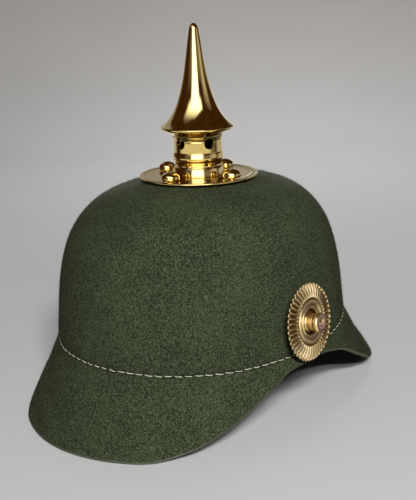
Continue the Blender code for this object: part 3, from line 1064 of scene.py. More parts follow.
def stitch_tree(material):
    """Bowed stitches along the edges of the given loop, one at each step of its count."""
    inputs = [
        ("Count", "NodeSocketInt", 100),
        ("Length", "NodeSocketFloat", 0.004),
        ("Thread", "NodeSocketFloat", 0.0008),
        ("Bow", "NodeSocketFloat", 0.0004),
        ("Side", "NodeSocketFloat", 1.0),
        ("Seed", "NodeSocketInt", 1),
    ]
    tree, maker, given = new_group("Stitches along a seam", inputs)
    loop = maker.node("GeometryNodeMeshToCurve", {}, {0: given["Geometry"]})
    points = maker.node("GeometryNodeResampleCurve", {}, {"Curve": loop, "Count": given["Count"]})
    along = maker.node("GeometryNodeInputTangent")
    outward = maker.node(
        "ShaderNodeVectorMath", {"operation": "CROSS_PRODUCT"}, {0: along, 1: (0, 0, 1)}
    )
    sided = maker.node(
        "ShaderNodeVectorMath", {"operation": "SCALE"}, {0: outward, "Scale": given["Side"]}
    )
    heading = maker.node(
        "FunctionNodeAlignRotationToVector", {"axis": "X"}, {"Vector": along}
    )
    facing = maker.node(
        "FunctionNodeAlignRotationToVector",
        {"axis": "Z", "pivot_axis": "X"},
        {"Rotation": heading, "Vector": sided},
    )
    sway = maker.node(
        "FunctionNodeRandomValue",
        {"data_type": "FLOAT_VECTOR"},
        {0: (-0.05, -0.05, -0.15), 1: (0.05, 0.05, 0.02), "Seed": given["Seed"]},
    )
    turned_by = maker.node("FunctionNodeEulerToRotation", {}, {0: sway})
    posed = maker.node(
        "FunctionNodeRotateRotation", {"rotation_space": "LOCAL"}, {0: facing, 1: turned_by}
    )
    sizes = maker.node(
        "FunctionNodeRandomValue",
        {"data_type": "FLOAT_VECTOR"},
        {0: (0.84, 0.85, 0.8), 1: (1.12, 1.1, 1.2), "Seed": given["Seed"]},
    )
    start = maker.node("ShaderNodeCombineXYZ", {}, {2: given["Thread"] * -0.9})
    top = maker.node(
        "ShaderNodeCombineXYZ", {}, {0: given["Length"] * 0.5, 2: given["Bow"] * 2.0}
    )
    end = maker.node(
        "ShaderNodeCombineXYZ", {}, {0: given["Length"], 2: given["Thread"] * -0.9}
    )
    bow = maker.node(
        "GeometryNodeCurveQuadraticBezier",
        {},
        {"Resolution": 9, "Start": start, "Middle": top, "End": end},
    )
    round_thread = maker.node(
        "GeometryNodeCurvePrimitiveCircle", {}, {"Resolution": 8, "Radius": given["Thread"] * 0.5}
    )
    stitch = maker.node(
        "GeometryNodeCurveToMesh", {}, {"Curve": bow, "Profile Curve": round_thread, "Fill Caps": True}
    )
    smooth = maker.node("GeometryNodeSetShadeSmooth", {}, {0: stitch})
    placed = maker.node(
        "GeometryNodeInstanceOnPoints",
        {},
        {"Points": points, "Instance": smooth, "Rotation": posed, "Scale": sizes},
    )
    end_group(maker, placed, material)
    return tree


def seam_loop(name, looks, depth, shift):
    """The seam as a loop of edges, depth inside the felt, started shift of a pitch on."""
    turns, length = turns_along_seam(looks.stitching.count, (shift, shift + 0.5))
    places = []
    for turn in turns:
        outward = wander(felt_place(turn, seam_radius(turn), seam_height(turn)), looks.felt.unevenness)
        places.append(felt_place(turn, seam_radius(turn) + outward - depth, seam_height(turn)))
    mesh = bpy.data.meshes.new(name)
    edges = [(i, (i + 1) % len(places)) for i in range(len(places))]
    mesh.from_pydata(places, edges, [])
    return mesh, length


def make_stitching(looks):
    """Running stitches round the seam: long ones outside, short ones inside."""
    stitching = looks.stitching
    tree = stitch_tree(thread_material(stitching))
    meshes = []
    for side, share, depth, shift in (
        (1.0, stitching.share, looks.felt.groove * 0.9, 0.0),
        (-1.0, 1 - stitching.share, looks.felt.wall, stitching.share),
    ):
        loop, length = seam_loop("stitch_line", looks, depth, shift)
        values = {
            "Count": stitching.count,
            "Length": length / stitching.count * share,
            "Thread": stitching.thread,
            "Bow": stitching.thread * 0.75,
            "Side": side,
            "Seed": stitching.seed,
        }
        meshes.append(grown("stitching", loop, tree, values))
    stitches = show("stitching", joined("stitching", meshes))
    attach(stitches, "root")


def joined(name, meshes):
    """Several meshes as one, with their materials and attributes kept."""
    objects = [show(name + "_part", mesh) for mesh in meshes]
    with bpy.context.temp_override(
        active_object=objects[0], object=objects[0], selected_objects=objects,
        selected_editable_objects=objects,
    ):
        bpy.ops.object.join()
    mesh = objects[0].data
    mesh.name = name
    bpy.data.objects.remove(objects[0])
    return mesh


def rounded(corners, steps=4):
    """A profile from (radius, height, rounding) corners, each rounding an arc."""
    profile = []
    last = len(corners) - 1
    for i, (radius, height, rounding) in enumerate(corners):
        here = Vector((radius, height))
        if rounding == 0 or i in (0, last):
            profile.append(here)
            continue
        before = Vector(corners[i - 1][:2]) - here
        after = Vector(corners[i + 1][:2]) - here
        reach = min(rounding, before.length * 0.49, after.length * 0.49)
        start = here + before.normalized() * reach
        finish = here + after.normalized() * reach
        for step in range(steps + 1):
            t = step / steps
            profile.append(start * (1 - t) ** 2 + here * 2 * t * (1 - t) + finish * t ** 2)
    return [tuple(point) for point in profile]


def turned_mesh(name, profile, segments, closed=False, hollows=None):
    """Spin a profile of (radius, height) about +Z. A point on the axis becomes a pole."""
    work = bmesh.new()
    # The hollow layer holds each ring's share of painted shade
    layer = work.verts.layers.float.new("hollow")
    rings = []
    for row, (radius, height) in enumerate(profile):
        if radius < 1e-7:
            ring = [work.verts.new((0, 0, height))]
        else:
            ring = []
            for i in range(segments):
                angle = 2 * pi * i / segments
                ring.append(work.verts.new((radius * cos(angle), radius * sin(angle), height)))
        for vert in ring:
            vert[layer] = hollows[row] if hollows else 0.0
        rings.append(ring)
    pairs = list(zip(rings, rings[1:]))
    if closed:
        pairs.append((rings[-1], rings[0]))
    for low, high in pairs:
        for i in range(segments):
            j = (i + 1) % segments
            corners = [low[i % len(low)], low[j % len(low)], high[j % len(high)], high[i % len(high)]]
            corners = [c for k, c in enumerate(corners) if c not in corners[:k]]
            if len(corners) > 2:
                work.faces.new(corners)
    bmesh.ops.recalc_face_normals(work, faces=work.faces)
    mesh = bpy.data.meshes.new(name)
    work.to_mesh(mesh)
    work.free()
    mesh.shade_smooth()
    mesh.set_sharp_from_angle(angle=radians(40))
    return mesh


def moved(mesh, matrix):
    mesh.transform(matrix)
    return mesh


def on_axis(height):
    return Matrix.Translation((0, AXIS_Y, height))


def make_base_plate(looks):
    """The plate: a thin disc, its floor sunk inside a rolled edge with a turned line."""
    edge = PLATE_RADIUS
    hole = 0.0125
    roll = 0.0008
    line = edge - 0.0028
    top = PLATE_SEAT - PLATE_BOTTOM
    brim = PLATE_TOP - PLATE_BOTTOM
    corners = [
        (hole, 0.0, 0),
        (edge - roll, 0.0, roll),
        (edge, 0.0002, roll * 0.7),
        (edge, brim - 0.0001, roll * 0.8),
        (edge - roll, brim, roll * 0.8),
        (edge - 2.1 * roll, brim - 0.0002, roll * 0.4),
        (line + 0.0005, brim - 0.0001, 0.0001),
        (line, brim - 0.0005, 0.00008),
        (line - 0.0005, brim - 0.0001, 0.0001),
        (edge - 0.0055, top, 0.002),
        (0.020, top, 0.004),
        (hole, top, 0),
    ]
    profile = rounded(corners)
    # Painted shade in the turned line
    hollows = [max(0.0, 1 - abs(radius - line) / 0.0006) * (height > top * 0.5)
               for radius, height in profile]
    mesh = turned_mesh("plate", profile, 160, closed=True, hollows=hollows)
    mesh.materials.append(brass_of("plate_brass", looks))
    plate = show("plate", moved(mesh, on_axis(PLATE_BOTTOM)))
    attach(plate, "root")
    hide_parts("base_plate")


def brass_of(name, looks):
    brass = looks.brass
    if name in bpy.data.materials:
        return bpy.data.materials[name]
    # A darker brass as painted shade in the hollows, here the plate's turned line
    return brass_material(name, brass.polished, scaled(brass.polished, 0.35), brass.roughness)


def points_round_axis(maker, count, angle, radius, level=0.0):
    """Points at the given angles and radius round the axis, as many as count."""
    cosine = maker.node("ShaderNodeMath", {"operation": "COSINE"}, {0: angle})
    sine = maker.node("ShaderNodeMath", {"operation": "SINE"}, {0: angle})
    place = maker.node(
        "ShaderNodeCombineXYZ", {}, {0: radius * cosine, 1: radius * sine, 2: level}
    )
    return maker.node("GeometryNodePoints", {}, {"Count": count, "Position": place})


def ring_tree(material):
    """Copies of the given shape round the axis, from one count and one radius."""
    inputs = [
        ("Count", "NodeSocketInt", 4),
        ("Radius", "NodeSocketFloat", 0.03),
        ("Weld", "NodeSocketFloat", 0.0),
    ]
    tree, maker, given = new_group("Copies round an axis", inputs)
    index = maker.node("GeometryNodeInputIndex")
    angle = index * (2 * pi) / given["Count"]
    points = points_round_axis(maker, given["Count"], angle, given["Radius"])
    turn = maker.node("ShaderNodeCombineXYZ", {}, {2: angle})
    rotation = maker.node("FunctionNodeEulerToRotation", {}, {0: turn})
    copies = maker.node(
        "GeometryNodeInstanceOnPoints",
        {},
        {"Points": points, "Instance": given["Geometry"], "Rotation": rotation},
    )
    whole = maker.node("GeometryNodeRealizeInstances", {}, {0: copies})
    welded = maker.node(
        "GeometryNodeMergeByDistance", {}, {"Geometry": whole, "Distance": given["Weld"]}
    )
    end_group(maker, welded, material)
    return tree


def make_studs(looks):
    """Four round-headed studs, set round the plate."""
    stem = 0.0030
    under = 0.0004
    head = half_width_of("stud_rear") * 1.01
    undercut = radians(15)
    rounding = (STUD_HEIGHT - under) / (1 + sin(undercut))
    profile = [(0, 0), (stem + 0.0002, 0), (stem, 0.0002), (stem, under)]
    rows = 20
    for row in range(rows):
        angle = -undercut + (pi / 2 + undercut) * row / rows
        profile.append((head * cos(angle), STUD_HEIGHT - rounding * (1 - sin(angle))))
    profile.append((0, STUD_HEIGHT))
    blank = turned_mesh("stud", profile, 40)
    values = {"Count": len(STUD_NODES), "Radius": STUD_CIRCLE, "Weld": 0.0}
    mesh = grown("studs", blank, ring_tree(brass_of("stud_brass", looks)), values)
    studs = show("studs", moved(mesh, on_axis(STUD_BOTTOM)))
    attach(studs, "root")
    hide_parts(*STUD_NODES)


def drilled_tree(material):
    """The given tube with a count of round holes cut through its wall at one level."""
    inputs = [
        ("Count", "NodeSocketInt", 5),
        ("Turn", "NodeSocketFloat", 0.0),
        ("Hole radius", "NodeSocketFloat", 0.003),
        ("Level", "NodeSocketFloat", 0.02),
        ("Reach", "NodeSocketFloat", 0.02),
    ]
    tree, maker, given = new_group("Holes round a tube", inputs)
    index = maker.node("GeometryNodeInputIndex")
    angle = index * (2 * pi) / given["Count"] + given["Turn"]
    points = points_round_axis(
        maker, given["Count"], angle, given["Reach"] * 0.75, given["Level"]
    )
    turn = maker.node("ShaderNodeCombineXYZ", {}, {1: pi / 2, 2: angle})
    rotation = maker.node("FunctionNodeEulerToRotation", {}, {0: turn})
    drill = maker.node(
        "GeometryNodeMeshCylinder",
        {},
        {"Vertices": 48, "Radius": given["Hole radius"], "Depth": given["Reach"] * 0.7},
    )
    drills = maker.node(
        "GeometryNodeInstanceOnPoints",
        {},
        {"Points": points, "Instance": drill, "Rotation": rotation},
    )
    tools = maker.node("GeometryNodeRealizeInstances", {}, {0: drills})
    holed = maker.node(
        "GeometryNodeMeshBoolean",
        {"operation": "DIFFERENCE", "solver": "EXACT"},
        {"Mesh 1": given["Geometry"], "Mesh 2": tools},
    )
    end_group(maker, holed, material)
    return tree


# Bore through the neck, and how far out the walls of its vent holes are painted dark as shade
NECK_BORE = 0.0142
VENT_SHADE_REACH = 0.01605


def make_neck(looks):
    """The hollow neck: foot torus, cove, second torus, drilled band and flared top."""
    tall = NECK_TOP - NECK_BOTTOM
    profile = [(NECK_BORE, tall), (NECK_BORE, 0.0)]
    for low, high in zip(NECK, NECK[1:]):
        steps = 2 if high.along - low.along < 0.0012 else 4
        for step in range(steps):
            height = low.along + (high.along - low.along) * step / steps
            profile.append((neck_radius(height), height))
    profile.append((NECK[-1].across, tall))
    tube = turned_mesh("neck", profile, 160, closed=True)
    fittings = looks.fittings
    values = {
        "Count": fittings.vents,
        "Turn": fittings.vent_turn + pi / 2,
        "Hole radius": fittings.vent_radius,
        "Level": fittings.vent_level,
        "Reach": NECK[0].across,
    }
    mesh = grown("neck", tube, drilled_tree(brass_of("neck_brass", looks)), values)
    # Painted shade: the bore and the walls of the vent holes are painted near black
    bore_made, maker, _ = new_material("bore_soot")
    bore_shade_finish = {"Base Color": (0.004, 0.003, 0.002, 1.0), "Roughness": 1.0, "Specular IOR Level": 0.0}
    finish_material(maker, {}, bore_shade_finish)
    mesh.materials.append(bore_made)
    for polygon in mesh.polygons:
        centre = polygon.center
        away = hypot(centre.x, centre.y)
        beside = abs(centre.z - fittings.vent_level) < fittings.vent_radius
        if away < NECK_BORE + 0.0001 or (beside and away < VENT_SHADE_REACH):
            polygon.material_index = 1
    mesh.set_sharp_from_angle(angle=radians(50))
    neck = show("neck", moved(mesh, on_axis(NECK_BOTTOM)))
    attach(neck, "root")
    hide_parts("spike_neck")


def make_spike(looks):
    """The spike: hollowed underside, crisp lip, long taper and small round tip."""
    tall = SPIKE_TIP - SPIKE_BOTTOM
    lip_level = 0.0053
    lip_edge = 0.0009
    wall = 0.0012
    seat = NECK[-1].across
    over = tall - lip_level
    lip_bottom = lip_level - lip_edge
    profile = [(NECK_BORE, 0.0), (seat, 0.0)]
    for step in range(1, 19):
        share = step / 18
        radius = seat + (SPIKE_LIP_RADIUS - seat) * underside_share(share)
        profile.append((radius, lip_bottom * share))
    profile += [
        (SPIKE_LIP_RADIUS * 0.994, lip_bottom + lip_edge * 0.25),
        (SPIKE_LIP_RADIUS, lip_bottom + lip_edge * 0.6),
        (SPIKE_LIP_RADIUS * 0.998, lip_bottom + lip_edge * 0.85),
    ]
    last = SPIKE[-1].along
    for step in range(80):
        share = 0.004 + (last - 0.004) * (step / 79) ** 1.3
        profile.append((SPIKE_LIP_RADIUS * spike_radius_share(share), lip_level + over * share))
    for share, part in ((0.9945, 0.76), (0.998, 0.45)):
        profile.append((SPIKE_LIP_RADIUS * SPIKE[-1].across * part, lip_level + over * share))
    profile.append((0, tall))
    profile.append((0, lip_level + over * 0.52))
    for share in (0.50, 0.40, 0.30, 0.20, 0.10, 0.04):
        radius = min(SPIKE_LIP_RADIUS * spike_radius_share(share) - wall, NECK_BORE)
        profile.append((radius, lip_level + over * share))
    profile.append((NECK_BORE, 0.0))
    mesh = turned_mesh("spike", profile, 160)
    face_outward(mesh, weld=1e-6)
    mesh.materials.append(brass_of("spike_brass", looks))
    spike = show("spike_top", moved(mesh, on_axis(SPIKE_BOTTOM)))
    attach(spike, "root")
    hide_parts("spike")


FLUTE_START = 0.0151
CREST = 0.0051

# Radial run of a flute: share of the way out, height under the crest in metres, and
# how much of the hollow's full depth is cut there
FluteRow = namedtuple("FluteRow", "out fall cut")
FLUTE_RUN = [
    FluteRow(out=0.000, fall=0.0019, cut=0.00),
    FluteRow(out=0.010, fall=0.0009, cut=0.05),
    FluteRow(out=0.035, fall=0.0003, cut=0.20),
    FluteRow(out=0.08, fall=0.0001, cut=0.60),
    FluteRow(out=0.15, fall=0.0000, cut=0.90),
    FluteRow(out=0.28, fall=0.0001, cut=1.00),
    FluteRow(out=0.45, fall=0.0003, cut=1.00),
    FluteRow(out=0.62, fall=0.0006, cut=1.00),
    FluteRow(out=0.76, fall=0.0009, cut=1.00),
    FluteRow(out=0.86, fall=0.0012, cut=0.92),
    FluteRow(out=0.92, fall=0.0014, cut=0.70),
    FluteRow(out=0.955, fall=0.0015, cut=0.35),
    FluteRow(out=0.980, fall=0.0016, cut=0.10),
    FluteRow(out=0.996, fall=0.0020, cut=0.00),
    FluteRow(out=1.000, fall=0.0026, cut=0.00),
    FluteRow(out=0.985, fall=0.0031, cut=0.00),
    FluteRow(out=0.93, fall=0.0034, cut=0.00),
    FluteRow(out=0.45, fall=0.0040, cut=0.00),
    FluteRow(out=-0.10, fall=0.0045, cut=0.00),
]


def flute_wedge(fittings):
    """One flute as a wedge of a closed ring: a hollow between two narrow crests."""
    columns = 12
    step = 2 * pi / fittings.flutes / columns
    run = ROSETTE_RADIUS - FLUTE_START
    verts = []
    hollows = []
    for row in FLUTE_RUN:
        for column in range(columns + 1):
            side = abs(2 * column / columns - 1)
            dip = (0.5 + 0.5 * cos(pi * side)) ** 0.55
            radius = FLUTE_START + run * row.out - 0.0022 * side ** 3 * max(row.out, 0) ** 6
            angle = (column - columns / 2) * step
            height = CREST - row.fall - fittings.flute_depth * dip * row.cut
            height -= 0.0003 * side ** 2 * max(row.out, 0) ** 8
            verts.append((radius * cos(angle), radius * sin(angle), height))
            # Painted shade deep in each hollow and over the back of the flutes
            hollows.append(min(1.0, dip ** 0.6 * row.cut + (row.fall > 0.003)))
    across = columns + 1
    faces = []
    for row in range(len(FLUTE_RUN)):
        after = (row + 1) % len(FLUTE_RUN)
        for column in range(columns):
            low = row * across + column
            high = after * across + column
            faces.append((low, low + 1, high + 1, high))
    mesh = bpy.data.meshes.new("flute")
    mesh.from_pydata(verts, [], faces)
    layer = mesh.attributes.new("hollow", "FLOAT", "POINT")
    layer.data.foreach_set("value", hollows)
    mesh.shade_smooth()
    return mesh


def side_frame(side):
    """Matrix from a piece turned about +Z to its place on the helmet's side."""
    out = Vector((side * cos(ROSETTE_YAW), -sin(ROSETTE_YAW), 0))
    up = Vector((0, 0, 1))
    outward = out * cos(ROSETTE_TILT) + up * sin(ROSETTE_TILT)
    upward = up * cos(ROSETTE_TILT) - out * sin(ROSETTE_TILT)
    forward = upward.cross(outward)
    placed = Matrix((forward, upward, outward)).transposed().to_4x4()
    placed.translation = Vector((side * ROSETTE_SEAT, ROSETTE_Y, ROSETTE_LEVEL))
    return placed


# Middle of a rosette from its back: radius, height, rounding and share of painted shade
RingCorner = namedtuple("RingCorner", "radius height rounding hollow")
ROSETTE_RINGS = [
    RingCorner(0.0028, 0.0000, 0.0, 1.0),
    RingCorner(0.0125, 0.0000, 0.0003, 0.6),
    RingCorner(0.0154, 0.0006, 0.0003, 0.6),
    RingCorner(0.0157, 0.0030, 0.0002, 0.8),
    RingCorner(0.0152, 0.0033, 0.0002, 0.85),
    RingCorner(0.0141, 0.0031, 0.0002, 0.80),
    RingCorner(0.0138, 0.0040, 0.0002, 0.35),
    RingCorner(0.0133, 0.0046, 0.0005, 0.0),
    RingCorner(0.0121, 0.0045, 0.0005, 0.0),
    RingCorner(0.0116, 0.0038, 0.0003, 0.45),
    RingCorner(0.0107, 0.0033, 0.0006, 0.65),
    RingCorner(0.0099, 0.0034, 0.0003, 0.45),
    RingCorner(0.0096, 0.0040, 0.0003, 0.1),
    RingCorner(0.0089, 0.0042, 0.0004, 0.0),
    RingCorner(0.0085, 0.0036, 0.0003, 0.5),
    RingCorner(0.0084, 0.0009, 0.0002, 1.0),
    RingCorner(0.0028, 0.0009, 0.0, 1.0),
]


def ringed_middle():
    """The turned middle of a rosette, closed, with its painted shade."""
    steps = 3
    corners = [(c.radius, c.height, c.rounding) for c in ROSETTE_RINGS]
    profile = rounded(corners, steps)
    hollows = []
    for i, corner in enumerate(ROSETTE_RINGS):
        single = corner.rounding == 0 or i in (0, len(ROSETTE_RINGS) - 1)
        hollows += [corner.hollow] * (1 if single else steps + 1)
    return turned_mesh("middle", profile, 128, closed=True, hollows=hollows)


def make_rosettes(looks):
    """Both fluted rosettes: flutes by Geometry Nodes round a turned middle."""
    brass = looks.brass
    # Painted shade in the flutes, the coves and the back of the rosettes
    gilt = brass_material("rosette_gilt", brass.gilt, brass.flute_shade, 0.31, 0.3)
    tree = ring_tree(gilt)
    values = {"Count": looks.fittings.flutes, "Radius": 0.0, "Weld": 0.00001}
    flutes = grown("flutes", flute_wedge(looks.fittings), tree, values)
    face_outward(flutes)
    middle = ringed_middle()
    middle.materials.append(gilt)
    whole = joined("rosette", [flutes, middle])
    for name, side in (("right", -1), ("left", 1)):
        mesh = moved(whole.copy(), side_frame(side))
        rosette = show("rosette_disc_" + name, mesh)
        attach(rosette, "root")
        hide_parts("rosette_" + name)


def make_posts(looks):
    """The capped posts in the rosettes, each cap ringed by small beads."""
    foot = 0.0012
    face = foot + 0.0106
    cap = 0.0063
    shank_end = -0.0046
    bead = 0.00031
    corners = [
        (0, shank_end, 0),
        (0.0025, shank_end, 0.0003),
        (0.0025, foot, 0.0001),
        (0.0068, foot, 0.0002),
        (0.0068, foot + 0.0010, 0.0003),
        (0.0064, foot + 0.0013, 0.0002),
        (0.0063, foot + 0.0020, 0.0003),
        (0.0059, foot + 0.0023, 0.0003),
        (0.0057, foot + 0.0034, 0.0010),
        (0.0056, foot + 0.0052, 0.0010),
        (0.0057, foot + 0.0066, 0.0006),
        (0.0059, foot + 0.0072, 0.0004),
        (cap - 0.0002, foot + 0.0076, 0.0005),
        (cap, foot + 0.0083, 0.0004),
        (cap, face - 0.0010, 0.0004),
        (cap - 0.0005, face - 0.0001, 0.0005),
        (cap - 0.0020, face - 0.0003, 0.0005),
        (0.0033, face - 0.0001, 0.0008),
        (0.0016, face - 0.0013, 0.0006),
        (0, face - 0.0016, 0),
    ]
    profile = rounded(corners, 3)
    # Painted shade on the foot and shank, which sit deep in the rosette's hole
    hollows = [1.0 if height < foot + 0.0001 else 0.0 for _, height in profile]
    brass = looks.brass
    rose = brass_material("cap_brass", brass.rose, brass.cap_bead_shade, 0.34)
    gold = brass_material("post_gold", brass.column, brass.post_foot_shade, 0.24)
    body = turned_mesh("post", profile, 96, hollows=hollows)
    body.materials.append(gold)
    body.materials.append(rose)
    for polygon in body.polygons:
        centre = polygon.center
        if centre.z > face - 0.0012 and hypot(centre.x, centre.y) < cap - 0.0004:
            polygon.material_index = 1
    knob = bmesh.new()
    bmesh.ops.create_icosphere(knob, subdivisions=2, radius=bead)
    bead_mesh = bpy.data.meshes.new("knurl")
    knob.to_mesh(bead_mesh)
    knob.free()
    bead_mesh.shade_smooth()
    # Painted shade: each bead is painted dark all over
    layer = bead_mesh.attributes.new("hollow", "FLOAT", "POINT")
    layer.data.foreach_set("value", [1.0] * len(bead_mesh.vertices))
    values = {"Count": looks.fittings.knurls, "Radius": cap - 0.0013, "Weld": 0.0}
    beads = grown("knurls", bead_mesh, ring_tree(rose), values)
    beads.transform(Matrix.Translation((0, 0, face - 0.0001)))
    whole = joined("post", [body, beads])
    for name, side in (("right", -1), ("left", 1)):
        mesh = moved(whole.copy(), side_frame(side))
        post = show("strap_post_" + name, mesh)
        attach(post, "root")
        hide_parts("rosette_post_" + name)


# The photograph's camera, fitted to the helmet's outline
CAMERA_PLACE = Vector((-0.3684, 0.4282 + AXIS_Y, 0.2531))
CAMERA_AIM = Vector((0.6219, -0.7343, -0.2719))
CAMERA_UP = Vector((0.1489, -0.2300, 0.9617))
CAMERA_LENS = 60.84

# The paper under and round the helmet: where it starts to rise, its wall and its bend
FLOOR_REACH = 1.0
WALL_REACH = 1.7
WALL_TOP = 1.5
BEND_RISE = 0.7

# The dome that the brass mirrors
ROOM_RADIUS = 1.3
ROOM_LEVEL = 0.15

# What the lights aim at, apart from the one past the helmet, and their tint
AIM = (0, 0, 0.10)
WHITE = (1.0, 0.995, 0.985)


def make_camera():
    data = bpy.data.cameras.new("camera")
    data.sensor_width = 36.0
    data.lens = CAMERA_LENS
    data.clip_start = 0.01
    data.clip_end = 20.0
    camera = bpy.data.objects.new("camera", data)
    back = -CAMERA_AIM.normalized()
    across = CAMERA_UP.cross(back).normalized()
    upright = back.cross(across)
    placed = Matrix((across, upright, back)).transposed().to_4x4()
    placed.translation = CAMERA_PLACE
    camera.matrix_world = placed
    bpy.context.scene.collection.objects.link(camera)
    bpy.context.scene.camera = camera


def stage_material(stage, toward):
    """Pale matt paper, cooler on the floor than on the wall, dim beside the camera."""
    made, maker, place = new_material("paper_sweep")
    weave = maker.noise(place, 900.0, 2.0)
    shade = maker.noise(place, 6.0, 2.0)
    height = maker.node("ShaderNodeSeparateXYZ", {}, {0: place}, "Z")
    paper = maker.mix((height / 0.5).clamped(), opaque(stage.floor), opaque(stage.wall))
    dull_floor = opaque(scaled(stage.floor, 0.93))
    dull_wall = opaque(scaled(stage.wall, 0.93))
    dull = maker.mix((height / 0.5).clamped(), dull_floor, dull_wall)
    tone = maker.mix((shade * 0.7 + weave * 0.3).clamped(), dull, paper)
    parts = [maker.node("ShaderNodeSeparateXYZ", {}, {0: place}, name) for name in "XY"]
    near = parts[0] * toward.x + parts[1] * toward.y
    dim = ((near + 0.9) / 0.7).clamped() * (height / 0.25).clamped()
    tone = maker.mix(dim * 0.9, tone, (0.16, 0.155, 0.15, 1.0))
    finish_material(maker, {"Base Color": tone}, {"Roughness": 0.9, "Specular IOR Level": 0.1})
    return made


def area_light(name, place, aim, width, height, power, colour):
    data = bpy.data.lights.new(name, "AREA")
    data.shape = "RECTANGLE"
    data.size = width
    data.size_y = height
    data.energy = power
    data.color = colour
    light = bpy.data.objects.new(name, data)
    light.location = place
    light.rotation_mode = "QUATERNION"
    light.rotation_quaternion = (Vector(aim) - Vector(place)).to_track_quat("-Z", "Y")
    light.visible_camera = False
    bpy.context.scene.collection.objects.link(light)
    return light


# Pieces of polished metal, which mirror the dome and are lit by nothing else
MIRRORS = (
    "plate", "studs", "neck", "spike_top", "rosette_disc_right", "rosette_disc_left",
    "strap_post_right", "strap_post_left",
)


def light_only(source, pieces):
    """Let a source of light fall on the given pieces alone."""
    held = bpy.data.collections.new(source.name + "_receivers")
    for piece in pieces:
        held.objects.link(piece)
    source.light_linking.receiver_collection = held


def seen_only_in_reflections(piece):
    piece.visible_camera = False
    piece.visible_diffuse = False
    piece.visible_shadow = False
    piece.visible_transmission = False
    piece.visible_volume_scatter = False


def swept_paper():
    """A round floor that bends up into a wall."""
    profile = [(0, 0)]
    profile += [(FLOOR_REACH * share, 0) for share in (0.25, 0.5, 0.75, 1.0)]
    for step in range(1, 17):
        angle = pi / 2 * step / 16
        radius = FLOOR_REACH + (WALL_REACH - FLOOR_REACH) * sin(angle)
        profile.append((radius, BEND_RISE * (1 - cos(angle))))
    profile.append((WALL_REACH, WALL_TOP))
    sweep = turned_mesh("sweep", profile, 96)
    if sweep.polygons[0].normal.z < 0:
        sweep.flip_normals()
    return sweep


def make_lights(stage, toward, aside):
    """Two panes by the camera, a light past the helmet, one overhead, one beyond it."""
    low_pane = toward * 1.33 + aside * 0.22 + Vector((0, 0, 0.885))
    high_pane = toward * 1.26 + aside * 0.16 + Vector((0, 0, 1.04))
    past_helmet = toward * -0.88 + aside * 0.12
    above = past_helmet + Vector((0, 0, 1.2))
    opposite = toward * -1.2 + Vector((0, 0, 0.16))
    low = area_light("low_pane", low_pane, AIM, 0.4, 0.04, stage.low, WHITE)
    high = area_light("high_pane", high_pane, AIM, 0.5, 0.12, stage.high, WHITE)
    back = area_light("back", above, past_helmet, 0.8, 0.8, stage.back, WHITE)
    back.data.spread = radians(76)
    overhead = area_light("overhead", (0, 0, 1.6), AIM, 1.2, 1.2, stage.overhead, WHITE)
    far_side = area_light("far_side", opposite, AIM, 0.8, 0.4, stage.far_side, WHITE)
    cloth = [bpy.data.objects[name] for name in ("felt_hood", "nap", "stitching")]
    for light in (low, high, back, overhead):
        light_only(light, [*cloth, bpy.data.objects["backdrop"]])
    light_only(far_side, cloth)


def make_stage(looks):
    """Camera, pale floor swept up into a backdrop, soft lights and a dim room to mirror."""
    make_camera()
    stage = looks.stage
    sweep = swept_paper()
    toward = CAMERA_PLACE - Vector((0, AXIS_Y, 0))
    toward.z = 0
    toward.normalize()
    aside = Vector((-toward.y, toward.x, 0))
    backdrop = show("backdrop", sweep, stage_material(stage, toward))
    backdrop.visible_glossy = False
    mirrored_room(stage, toward, aside)
    light_only(bpy.data.objects["mirrored_room"], [bpy.data.objects[name] for name in MIRRORS])
    make_lights(stage, toward, aside)
    world = bpy.context.scene.world or bpy.data.worlds.new("world")
    bpy.context.scene.world = world
    world.use_nodes = True
    sky = world.node_tree.nodes["Background"]
    sky.inputs["Color"].default_value = (1.0, 0.995, 0.98, 1)
    sky.inputs["Strength"].default_value = stage.ambient
    bpy.context.scene.view_settings.view_transform = "Standard"
    bpy.context.scene.view_settings.look = "None"


